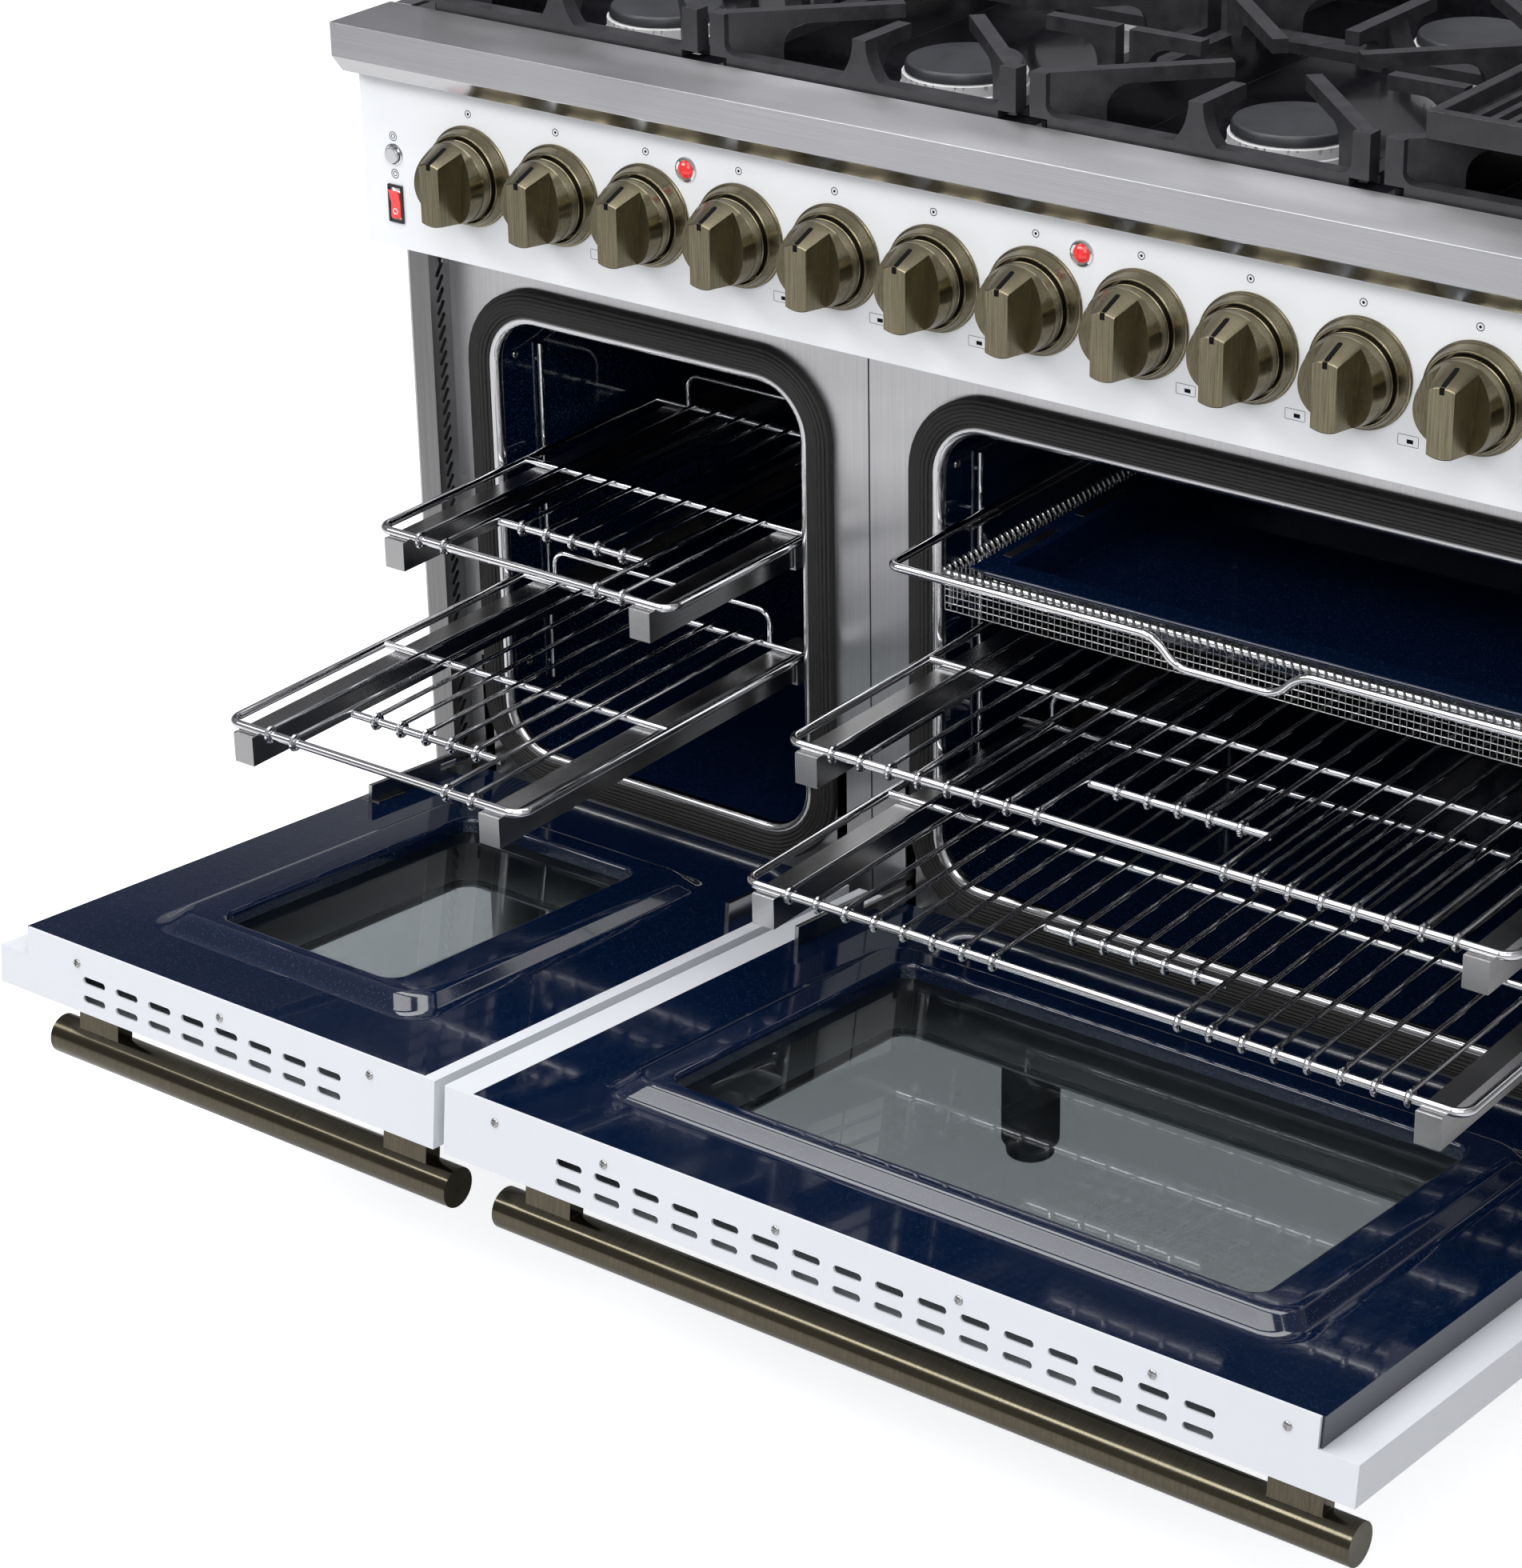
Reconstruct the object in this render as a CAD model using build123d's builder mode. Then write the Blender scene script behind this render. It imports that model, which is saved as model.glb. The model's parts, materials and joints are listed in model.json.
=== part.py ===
"""Freestanding gas range, 48 inch class, with two ovens, shown with its doors open and its racks out.

Frame: millimetres, +X to the right, +Y to the back, +Z up. The origin is on the floor, under the middle
of the whole open range. Both doors stand at their open stops.
"""
import os
from math import cos, radians, sin

from build123d import *

# Overall sizes
range_width = 1216.0
body_depth = 690.0
ledge_top = 880.0
sheet = 2.0
leg_height = 95.0
leg_radius = 24.0
leg_inset = 60.0
leg_front = 100.0
foot_height = 12.0
foot_step = 4.0

# Landing ledge over the control panel
ledge_depth = 73.0
ledge_face = 28.0
ledge_chamfer_in = 11.6
ledge_chamfer_down = 14.6
ledge_nose = 33.0

# Control panel and its knobs
panel_setback = 27.5
panel_bottom = 188.0
panel_side_inset = 3.0
panel_return = 38.0
knob_drop = 114.0
knob_count = 12
knob_end_margin = 116.85
knob_reach = 50.0
knob_base_radius = 33.0
knob_front_radius = 26.0
knob_grip_half = 11.0
knob_scoop_radius = 22.0
knob_wall = 3.0
knob_boss_radius = 9.0
knob_hollow = 20.0
bezel_largest = 41.0
bezel_spacing = 1.0
bezel_height = 12.0
bezel_plate = 2.0
bezel_gap = 1.5
bezel_bevel = 18.0
stem_radius = 4.0
stem_clearance = 0.05
stem_engagement = 26.0
knob_float = 0.6
stem_hole_clearance = 2.0
valve_width = 26.0
valve_length = 34.0
valve_setback = 14.0
manifold_radius = 13.0
light_radius = 7.5
light_drop = 70.8
light_collar = 3.0
light_dome = 2.5
light_bevel = 40.0
light_shifts = {3: -5.7, 7: -5.2}
button_radius = 6.5
button_travel = 3.0
button_drop = 109.8
button_tail = 8.0
button_stand = 1.5
switch_inset = 36.0
rocker_width = 15.6
rocker_height = 31.4
rocker_drop = 150.6
rocker_rim = 2.2
rocker_rim_height = 2.0
rocker_proud = 4.6
rocker_low = 2.2
rocker_waist = 1.6
rocker_back = 4.0
rocker_back_half = 6.0
rocker_end_gap = 1.2
moving_gap = 0.4

# Body
side_inset = 5.0
column_width = 23.0
column_front = 70.0
frame_front = 95.0
frame_bottom_gap = 24.0
panel_lap = 20.0
column_slot_pitch = 11.0
column_slot_length = 14.0
column_slot_width = 4.5
column_slot_slant = 55.0
column_slot_margin = 27.5
cavity_back = 606.0
cavity_wall = 1.5
opening_top = 630.0
opening_bottom = 229.0
opening_radius = 48.0
gasket_width = 22.0
gasket_thickness = 10.0
gasket_inset = 3.0
trim_lip = 4.0
oven_side_margins = {"left": 67.5, "right": 60.0}
oven_split_margins = {"left": 57.0, "right": 63.5}
kick_front = 75.0
kick_top = 148.0

# Doors, measured from the hinge line: along the door, and out of its inner face
left_bay = 455.5
door_gap = 10.0
door_side_inset = 3.0
door_length = 498.5
door_heel = 12.0
door_tilt = 6.06
hinge_setback = 53.6
hinge_height = 187.5
liner_level = 30.4
step_level = 7.5
outer_level = -24.0
step_width = 28.0
inner_rim = {"left": 11.0, "right": 24.5}
shell_wall = 2.0
liner_sheet = 2.0
liner_lap = 9.0
liner_end_inset = 2.5
window_rise = 12.0
window_taper = 14.0
window_radius = 24.0
window_front_margin = 68.0
window_length = 362.0
window_side_margins = {"left": 24.5, "right": 28.5}
glass_side_margins = {"left": 74.0, "right": 71.0}
glass_front_margin = 97.0
glass_length = 294.0
glass_thickness = 4.0
glass_lap = 8.0
glass_radius = 14.0
slot_length = 23.5
slot_height = 6.0
slot_pitch = 34.7
slot_end_margin = 84.0
slot_levels = (3.9, -11.6)
handle_radius = 16.0
handle_from_end = 50.0
handle_stand = 55.0
handle_end_inset = 18.0
post_width = 42.0
post_depth = 16.0
post_inset = 46.0

# Hinges
arm_thickness = 4.0
arm_from_gasket = 4.0
arm_reach = 118.0
arm_tail = 40.0
arm_height = 16.0
arm_hub_radius = 11.0
fork_length = 70.0
fork_gap = 6.0
pin_radius = 5.0
pin_clearance = 0.05
ear_thickness = 5.0
ear_offset = 9.0
ear_half_height = 13.0
notch_clearance = 2.0
pin_stickout = 3.0
arm_slot_gap = 3.0

# Racks: how high each rail runs, and how far its front stands out past the ledge
rail_width = 20.0
rail_height = 25.0
rail_length = 400.0
rail_wall = 1.5
runner_clearance = 0.6
runner_sheet = 2.0
runner_rise = 6.0
runner_lead = 8.0
rail_cap = 6.0
rail_from_wall = 37.0
rack_levels = {"left_upper": 477.0, "left_lower": 376.0, "right_upper": 425.0, "right_lower": 331.0}
rack_reach = {"left_upper": 80.0, "left_lower": 266.0, "right_upper": 128.0, "right_lower": 184.0}
bar_radius = 3.5
cross_bar_radius = 3.1
wire_overrun = 4.0
rung_radius = 2.0
rung_pitch = 26.0
wire_weld = 0.8
short_bar_end = 24.0
rung_from_rail = 18.0
middle_rungs = 5
rack_front_inset = 9.0
rack_depth = 360.0
rack_mid = 183.0
short_bar_setback = 66.0
rack_loop_out = 23.0
rack_loop_bend = 12.0
backstop_rise = 30.0
backstop_inset = 36.0
ladder_radius = 2.5
ladder_gap = 0.5
ladder_stud_inset = 14.0
hook_radius = 2.0
rest_lead = 35.0
ladder_stations = (150.0, 545.0)

# Air-fry basket and tray in the right oven
basket_level = 540.0
basket_front = 5.0
basket_depth = 380.0
basket_side_gap = 18.0
basket_wire = 3.5
basket_mesh_side = 46.0
basket_mesh_drop = 28.0
basket_mesh_sheet = 1.2
basket_mesh_inset = 10.0
basket_handle_half = 62.0
basket_handle_drop = 20.0
tray_side_gap = 12.0
tray_inset = 24.0
tray_stand = 4.0
tray_float = 0.4
tray_sheet = 1.2
tray_rim = 22.0

# Cooktop
grate_rise = 38.0
trim_gap = 2.0
grate_gap = 12.0
grate_float = 0.4
grate_bar = 14.0
grate_bar_height = 8.5
grate_sections = 4
grate_side_inset = 25.0
grate_front = 76.0
grate_back = 632.0
finger_width = 12.0
finger_depth = 11.0
finger_arch = 18.0
corner_foot = 46.0
middle_foot = 16.0
corner_tip = 47.0
middle_tip = 80.0
side_reach = 62.0
flare_top = 6.0
flare_base = 18.0
flare_curve = 42.0
post_fillet = 9.0
notch_width = 15.5
notch_height = 6.0
notch_depth = 16.0
pan_drop = 40.0
pan_sheet = 1.6
pan_flange = 16.0
pan_front = 74.0
pan_back = 640.0
side_border = 22.0
burner_radius = 50.0
burner_height = 23.0
cap_radius = 47.5
cap_height = 8.5
cap_bevel = 12.0
trim_rise = 30.0
vent_pitch = 46.0
vent_end_margin = 23.0
vent_length = 36.0
vent_width = 7.0
grill_side_gap = 29.75
grill_setback = 11.0
grill_depth = 470.0
grill_grip_rise = 12.0
grill_grip_inset = 175.0
grill_plate = 8.0
grill_rim = 20.0
grill_rim_width = 9.0
grill_ribs = 15
grill_rib_width = 6.0
grill_rib_height = 5.0

# Gas supply
supply_radius = 9.0
inlet_radius = 10.65
inlet_reach = 24.0
inlet_gap = 4.0
inlet_side_margin = 34.0
pipe_side_gap = 8.0
oven_burner_radius = 16.0
oven_burner_gap = 12.0
oven_burner_inset = 40.0

# Places worked out from the sizes above
tilt = radians(door_tilt)
door_overhang = door_length * cos(tilt) - outer_level * sin(tilt) - hinge_setback
front_y = (door_overhang - body_depth - inlet_reach) / 2
back_y = front_y + body_depth
half_width = range_width / 2
panel_y = front_y + panel_setback
knob_z = ledge_top - knob_drop
panel_base_z = ledge_top - panel_bottom
ledge_under_z = ledge_top - ledge_face - ledge_chamfer_down
knob_pitch = (range_width - 2 * knob_end_margin) / (knob_count - 1)
knob_xs = [(i - (knob_count - 1) / 2) * knob_pitch for i in range(knob_count)]
bezel_radius = min(bezel_largest, knob_pitch / 2 - bezel_spacing)
light_xs = [(knob_xs[i - 1] + knob_xs[i]) / 2 + shift for i, shift in light_shifts.items()]
frame_y = front_y + frame_front
cavity_back_y = front_y + cavity_back
side_x = half_width - side_inset
column_x = side_x - column_width
inlet_x = -side_x + inlet_side_margin
door_split = -half_width + left_bay
oven_edges = {
    "left": (-side_x + oven_side_margins["left"], door_split - oven_split_margins["left"]),
    "right": (door_split + oven_split_margins["right"], side_x - oven_side_margins["right"]),
}
oven_centres = {side: (low + high) / 2 for side, (low, high) in oven_edges.items()}
oven_half_widths = {side: (high - low) / 2 for side, (low, high) in oven_edges.items()}
frame_base_z = leg_height + frame_bottom_gap
opening_mid_z = (opening_top + opening_bottom) / 2
opening_height = opening_top - opening_bottom
hinge_y = front_y + hinge_setback
door_plane = Plane((0, hinge_y, hinge_height), x_dir=(1, 0, 0), z_dir=(0, sin(tilt), cos(tilt)))
ear_reach = frame_front - hinge_setback
grate_top = ledge_top + grate_rise
pan_floor_z = ledge_top - pan_drop
section_pitch = (range_width - 2 * grate_side_inset) / grate_sections
section_xs = [(i - (grate_sections - 1) / 2) * section_pitch for i in range(grate_sections)]
grate_low_y = front_y + grate_front
grate_high_y = front_y + grate_back
grate_mid_y = (grate_low_y + grate_high_y) / 2
burner_ys = [(grate_low_y + grate_mid_y) / 2, (grate_mid_y + grate_high_y) / 2]
burner_points = [(x, y) for x in section_xs for y in burner_ys]
switch_x = -half_width + switch_inset
sides = ("left", "right")
outward = {"left": -1, "right": 1}

os.makedirs("parts", exist_ok=True)


def keep(builder, name):
    """Label a finished piece and write it as its own STEP file."""
    builder.part.label = name
    export_step(builder.part, f"parts/{name}.step")
    solids = builder.part.solids()
    print(name, len(solids), "solids", round(sum(s.volume for s in solids) / 1000, 1), "cm3")


def block(low, high, mode=Mode.ADD):
    """A box between two opposite corners."""
    size = [b - a for a, b in zip(low, high)]
    with Locations(tuple((a + b) / 2 for a, b in zip(low, high))):
        Box(*size, mode=mode)


def rod(start, end, radius, mode=Mode.ADD):
    """A straight round bar between two points."""
    axis = Vector(*end) - Vector(*start)
    with BuildSketch(Plane(start, z_dir=axis)) as section:
        Circle(radius)
    extrude(section.sketch, amount=axis.length, mode=mode)


def bent_wire(points, radius, bend):
    """A round wire along straight runs with rounded corners."""
    with BuildLine() as route:
        FilletPolyline(*points, radius=bend)
    with BuildSketch(Plane(route.line @ 0, z_dir=route.line % 0)) as section:
        Circle(radius)
    sweep(section.sketch, path=route.line)


def door_block(x_range, along, level, mode=Mode.ADD):
    """A box on the open door: along runs from the hinge line to the door's far end, level out of the door."""
    with BuildSketch(door_plane.offset(level[0])) as section:
        with Locations((sum(x_range) / 2, -sum(along) / 2)):
            Rectangle(x_range[1] - x_range[0], along[1] - along[0])
    extrude(section.sketch, amount=level[1] - level[0], mode=mode)


def facing_plane(x, y, z):
    """A plane that faces the front of the range, with its own Z towards the cook."""
    return Plane((x, y, z), x_dir=(1, 0, 0), z_dir=(0, -1, 0))


def door_limits(side):
    """The left and right edges of one door."""
    outer = outward[side] * (half_width - door_side_inset)
    inner = door_split + outward[side] * door_gap / 2
    return min(outer, inner), max(outer, inner)


def liner_limits(side):
    """The left and right edges of the enamel liner on one door."""
    low, high = door_limits(side)
    if side == "left":
        return low + step_width, high - inner_rim[side]
    return low + inner_rim[side], high - step_width


def arm_xs(side):
    """Where the two hinge arms of one door stand, with the side that their pivot ears are on."""
    out = oven_half_widths[side] + gasket_width + arm_from_gasket
    return [(oven_centres[side] - out, 1), (oven_centres[side] + out, -1)]


# Landing ledge: a folded stainless nose with a flat top
with BuildPart() as front_ledge:
    with BuildSketch(Plane((-half_width, front_y, ledge_top), x_dir=(0, 1, 0), z_dir=(1, 0, 0))):
        Polygon(
            (0, 0),
            (0, -ledge_face),
            (ledge_chamfer_in, -ledge_face - ledge_chamfer_down),
            (ledge_nose, -ledge_face - ledge_chamfer_down),
            (ledge_nose, -sheet),
            (ledge_depth, -sheet),
            (ledge_depth, 0),
            align=None,
        )
    extrude(amount=range_width)
keep(front_ledge, "front_ledge")

# Control panel: a flat white front with a return along its bottom and holes for stems, lights and switches
with BuildPart() as control_panel:
    panel_half = half_width - panel_side_inset
    block((-panel_half, panel_y, panel_base_z), (panel_half, panel_y + sheet, ledge_under_z))
    block((-panel_half, panel_y, panel_base_z), (panel_half, panel_y + panel_return, panel_base_z + sheet))
    with BuildSketch(facing_plane(0, panel_y + sheet, 0)):
        with Locations(*[(x, knob_z) for x in knob_xs]):
            Circle(stem_radius + stem_hole_clearance)
        with Locations(*[(x, ledge_top - light_drop) for x in light_xs]):
            Circle(light_radius / 2)
        with Locations((switch_x, ledge_top - button_drop)):
            Circle(button_radius + moving_gap)
        with Locations((switch_x, ledge_top - rocker_drop)):
            Rectangle(rocker_width - 2 * rocker_rim, rocker_height - 2 * rocker_rim)
    extrude(amount=sheet, mode=Mode.SUBTRACT)
keep(control_panel, "control_panel")

# Stepped rings round the knobs
with BuildPart() as knob_bezels:
    for x in knob_xs:
        ring = facing_plane(x, panel_y, knob_z)
        with BuildSketch(ring):
            Circle(bezel_radius)
            Circle(stem_radius + stem_hole_clearance, mode=Mode.SUBTRACT)
        extrude(amount=bezel_plate)
        with BuildSketch(ring.offset(bezel_plate)):
            Circle(bezel_radius)
            Circle(knob_base_radius + bezel_gap, mode=Mode.SUBTRACT)
        extrude(amount=bezel_height / 2 - bezel_plate)
        with BuildSketch(ring.offset(bezel_height / 2)):
            Circle(bezel_radius)
            Circle(knob_base_radius + bezel_gap, mode=Mode.SUBTRACT)
        extrude(amount=bezel_height / 2, taper=bezel_bevel)
keep(knob_bezels, "knob_bezels")

# Knobs: a tapered body, scooped on both sides into a grip bar, bored for the valve stem
knob_foot = bezel_plate + knob_float
bore_radius = stem_radius + stem_clearance
bore_end = knob_foot + stem_engagement
scoop_out = knob_grip_half + knob_scoop_radius
with BuildPart() as knob_shape:
    with BuildSketch(Plane((0, panel_y, knob_z), x_dir=(1, 0, 0), z_dir=(0, 0, 1))):
        Polygon(
            (bore_radius, -knob_foot),
            (knob_boss_radius, -knob_foot),
            (knob_boss_radius, -knob_hollow),
            (knob_base_radius - knob_wall, -knob_hollow),
            (knob_base_radius - knob_wall, -knob_foot),
            (knob_base_radius, -knob_foot),
            (knob_base_radius, -bezel_height),
            (knob_front_radius, -knob_reach),
            (0, -knob_reach),
            (0, -bore_end),
            (bore_radius, -bore_end),
            align=None,
        )
    revolve(axis=Axis((0, panel_y, knob_z), (0, 1, 0)))
    with BuildSketch(Plane.XY.offset(knob_z)):
        with Locations((-scoop_out, panel_y - knob_reach), (scoop_out, panel_y - knob_reach)):
            Circle(knob_scoop_radius)
    extrude(amount=knob_base_radius + moving_gap, both=True, mode=Mode.SUBTRACT)
for number, x in enumerate(knob_xs, 1):
    with BuildPart() as knob:
        with Locations((x, 0, 0)):
            add(knob_shape.part)
    keep(knob, f"knob_{number:02d}")

# Gas valves behind the panel, each with its stem
valve_y = panel_y + sheet + valve_setback
with BuildPart() as gas_valves:
    for x in knob_xs:
        block(
            (x - valve_width / 2, valve_y, knob_z - valve_width / 2),
            (x + valve_width / 2, valve_y + valve_length, knob_z + valve_width / 2),
        )
        stem_end = panel_y - knob_foot - stem_engagement + moving_gap
        rod((x, valve_y, knob_z), (x, stem_end, knob_z), stem_radius)
keep(gas_valves, "gas_valves")

# Gas manifold: a cross pipe under the valves, and the supply pipe to its union behind the back panel
manifold_z = knob_z - valve_width / 2 - manifold_radius
manifold_y = valve_y + valve_length / 2
pipe_half = side_x - pipe_side_gap
with BuildPart() as gas_manifold:
    rod((-pipe_half, manifold_y, manifold_z), (pipe_half, manifold_y, manifold_z), manifold_radius)
    rod((inlet_x, manifold_y, manifold_z), (inlet_x, back_y + inlet_gap, manifold_z), supply_radius)
    rod((inlet_x, back_y + inlet_gap, manifold_z), (inlet_x, back_y + inlet_reach, manifold_z), inlet_radius)
keep(gas_manifold, "gas_manifold")

# Indicator lamps
with BuildPart() as indicator_lights:
    for x in light_xs:
        lamp = facing_plane(x, panel_y, ledge_top - light_drop)
        with BuildSketch(lamp):
            Circle(light_radius)
        extrude(amount=light_collar)
        with BuildSketch(lamp.offset(light_collar)):
            Circle(light_radius)
        extrude(amount=light_dome, taper=light_bevel)
keep(indicator_lights, "indicator_lights")

# Oven light push button, and the rocker switch in its black frame
with BuildPart() as light_button:
    press = facing_plane(switch_x, panel_y, ledge_top - button_drop)
    with BuildSketch(press.offset(-button_tail)):
        Circle(button_radius)
    extrude(amount=button_tail + button_travel + button_stand)
keep(light_button, "light_button")

rocker_z = ledge_top - rocker_drop
with BuildPart() as switch_frame:
    frame_plane = facing_plane(switch_x, panel_y, rocker_z)
    with BuildSketch(frame_plane):
        Rectangle(rocker_width, rocker_height)
        Rectangle(rocker_width - 2 * rocker_rim, rocker_height - 2 * rocker_rim, mode=Mode.SUBTRACT)
    extrude(amount=rocker_rim_height)
keep(switch_frame, "switch_frame")

rocker_half = rocker_width / 2 - rocker_rim - moving_gap
rocker_tall = rocker_height / 2 - rocker_rim - rocker_end_gap
with BuildPart() as rocker_switch:
    rocker_side = Plane((switch_x + rocker_half, panel_y, rocker_z), x_dir=(0, -1, 0), z_dir=(-1, 0, 0))
    with BuildSketch(rocker_side):
        Polygon(
            (-rocker_back, -rocker_back_half),
            (rocker_low, -rocker_tall),
            (rocker_waist, 0),
            (rocker_proud, rocker_tall),
            (-rocker_back, rocker_back_half),
            align=None,
        )
    extrude(amount=2 * rocker_half)
keep(rocker_switch, "rocker_switch")

# Side panels: folded sheets with a border along the cooktop
with BuildPart() as side_panels:
    for sign in (-1, 1):
        with BuildSketch(Plane.XY.offset(leg_height)):
            with Locations((sign * (side_x - sheet / 2), front_y + (column_front + body_depth - sheet) / 2)):
                Rectangle(sheet, body_depth - sheet - column_front)
        extrude(amount=ledge_top - sheet - leg_height)
        border_x = sorted((sign * side_x, sign * (half_width - side_border)))
        block(
            (border_x[0], front_y + ledge_depth, ledge_top - sheet),
            (border_x[1], back_y - sheet, ledge_top),
        )
keep(side_panels, "side_panels")

# Back panel, with a hole for the supply pipe
with BuildPart() as back_panel:
    block((-side_x, back_y - sheet, leg_height), (side_x, back_y, ledge_top))
    with BuildSketch(facing_plane(inlet_x, back_y, manifold_z)):
        Circle(supply_radius + stem_hole_clearance)
    extrude(amount=sheet, mode=Mode.SUBTRACT)
keep(back_panel, "back_panel")

# Base tray over the legs
with BuildPart() as base_tray:
    base_half = side_x - sheet
    base_front_y = front_y + kick_front + sheet
    block((-base_half, base_front_y, leg_height), (base_half, back_y - sheet, leg_height + sheet))
    block(
        (-base_half, base_front_y, leg_height + sheet),
        (base_half, base_front_y + sheet, leg_height + frame_bottom_gap),
    )
keep(base_tray, "base_tray")

# White kick plate under the doors
with BuildPart() as kick_plate:
    kick_y = front_y + kick_front
    block((-base_half, kick_y, leg_height), (base_half, kick_y + sheet, kick_top))
keep(kick_plate, "kick_plate")

# Six round legs, each with a levelling foot
leg_xs = (-side_x + leg_inset, 0.0, side_x - leg_inset)
leg_ys = (front_y + leg_front, back_y - leg_inset)
with BuildPart() as legs:
    for x in leg_xs:
        for y in leg_ys:
            rod((x, y, foot_height), (x, y, leg_height), leg_radius)
            rod((x, y, 0), (x, y, foot_height), leg_radius - foot_step)
keep(legs, "legs")

# Side columns: folded posts in front of the face frame, with slanted slots on their inner faces
column_y = front_y + column_front
slots_each = int((panel_base_z - kick_top - 2 * column_slot_margin) / column_slot_pitch)
with BuildPart() as front_columns:
    for sign in (-1, 1):
        inner_x = sign * column_x
        outer_x = sign * (side_x - sheet)
        low, high = sorted((inner_x, outer_x))
        block((low, column_y, kick_top), (high, frame_y, panel_base_z))
        low, high = sorted((inner_x + sign * sheet, outer_x))
        block((low, column_y + sheet, kick_top), (high, frame_y, panel_base_z), mode=Mode.SUBTRACT)
        with BuildSketch(Plane((inner_x, 0, 0), x_dir=(0, 1, 0), z_dir=(1, 0, 0))):
            with Locations(((column_y + frame_y) / 2, (panel_base_z + kick_top) / 2)):
                with GridLocations(column_slot_pitch, column_slot_pitch, 1, slots_each):
                    SlotOverall(column_slot_length, column_slot_width, rotation=column_slot_slant)
        extrude(amount=sheet, both=True, mode=Mode.SUBTRACT)
keep(front_columns, "front_columns")

# Face frame: a stainless plate with two rounded oven mouths, each with a lip, and slots for the hinge arms
arm_slot_low = hinge_height - arm_tail - arm_slot_gap
arm_slot_high = hinge_height + arm_reach + arm_slot_gap
with BuildPart() as face_frame:
    frame_plane = facing_plane(0, frame_y + sheet, 0)
    with BuildSketch(frame_plane):
        with Locations((0, (frame_base_z + panel_base_z + panel_lap) / 2)):
            Rectangle(2 * (side_x - sheet), panel_base_z + panel_lap - frame_base_z)
        for side in sides:
            with Locations((oven_centres[side], opening_mid_z)):
                RectangleRounded(
                    2 * oven_half_widths[side], opening_height, opening_radius, mode=Mode.SUBTRACT
                )
            for x, _ in arm_xs(side):
                with Locations((x, (arm_slot_low + arm_slot_high) / 2)):
                    Rectangle(
                        arm_thickness + 2 * arm_slot_gap,
                        arm_slot_high - arm_slot_low,
                        mode=Mode.SUBTRACT,
                    )
    extrude(amount=sheet)
    with BuildSketch(frame_plane.offset(sheet)):
        for side in sides:
            with Locations((oven_centres[side], opening_mid_z)):
                RectangleRounded(
                    2 * (oven_half_widths[side] + sheet), opening_height + 2 * sheet, opening_radius + sheet
                )
                RectangleRounded(
                    2 * oven_half_widths[side], opening_height, opening_radius, mode=Mode.SUBTRACT
                )
    extrude(amount=trim_lip)
keep(face_frame, "face_frame")

# Door gaskets: one soft ring round each oven mouth
with BuildPart() as oven_gaskets:
    with BuildSketch(facing_plane(0, frame_y, 0)):
        for side in sides:
            with Locations((oven_centres[side], opening_mid_z)):
                RectangleRounded(
                    2 * (oven_half_widths[side] + gasket_width),
                    opening_height + 2 * gasket_width,
                    opening_radius + gasket_width,
                )
                RectangleRounded(
                    2 * (oven_half_widths[side] + gasket_inset),
                    opening_height + 2 * gasket_inset,
                    opening_radius + gasket_inset,
                    mode=Mode.SUBTRACT,
                )
    extrude(amount=gasket_thickness)
keep(oven_gaskets, "oven_gaskets")

# Oven cavities: enamelled boxes behind the mouths
for side in sides:
    with BuildPart() as cavity:
        mouth_y = frame_y + sheet
        with BuildSketch(facing_plane(oven_centres[side], cavity_back_y + cavity_wall, opening_mid_z)):
            RectangleRounded(
                2 * (oven_half_widths[side] + cavity_wall),
                opening_height + 2 * cavity_wall,
                opening_radius + cavity_wall,
            )
        extrude(amount=cavity_back_y + cavity_wall - mouth_y)
        with BuildSketch(facing_plane(oven_centres[side], cavity_back_y, opening_mid_z)):
            RectangleRounded(2 * oven_half_widths[side], opening_height, opening_radius)
        extrude(amount=cavity_back_y - mouth_y, mode=Mode.SUBTRACT)
    keep(cavity, f"{side}_oven_cavity")

# Oven burners: a tube under each cavity
with BuildPart() as oven_burners:
    for side in sides:
        burner_z = opening_bottom - cavity_wall - oven_burner_radius - oven_burner_gap
        start = (oven_centres[side], frame_y + oven_burner_inset, burner_z)
        end = (oven_centres[side], cavity_back_y - oven_burner_inset, burner_z)
        rod(start, end, oven_burner_radius)
keep(oven_burners, "oven_burners")

# Hinge ears: plates on the face frame that reach into each door and carry its pivot pins
with BuildPart() as hinge_ears:
    for side in sides:
        for x, inward in arm_xs(side):
            ear_x = x + inward * ear_offset
            with BuildSketch(Plane((ear_x, 0, 0), x_dir=(0, 1, 0), z_dir=(1, 0, 0))):
                with Locations((hinge_y, hinge_height)):
                    Circle(ear_half_height)
                with Locations((hinge_y + ear_reach / 2, hinge_height)):
                    Rectangle(ear_reach, 2 * ear_half_height)
            extrude(amount=ear_thickness / 2, both=True)
            pin_end = x - inward * (arm_thickness / 2 + pin_stickout)
            rod((ear_x, hinge_y, hinge_height), (pin_end, hinge_y, hinge_height), pin_radius)
keep(hinge_ears, "hinge_ears")

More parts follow.
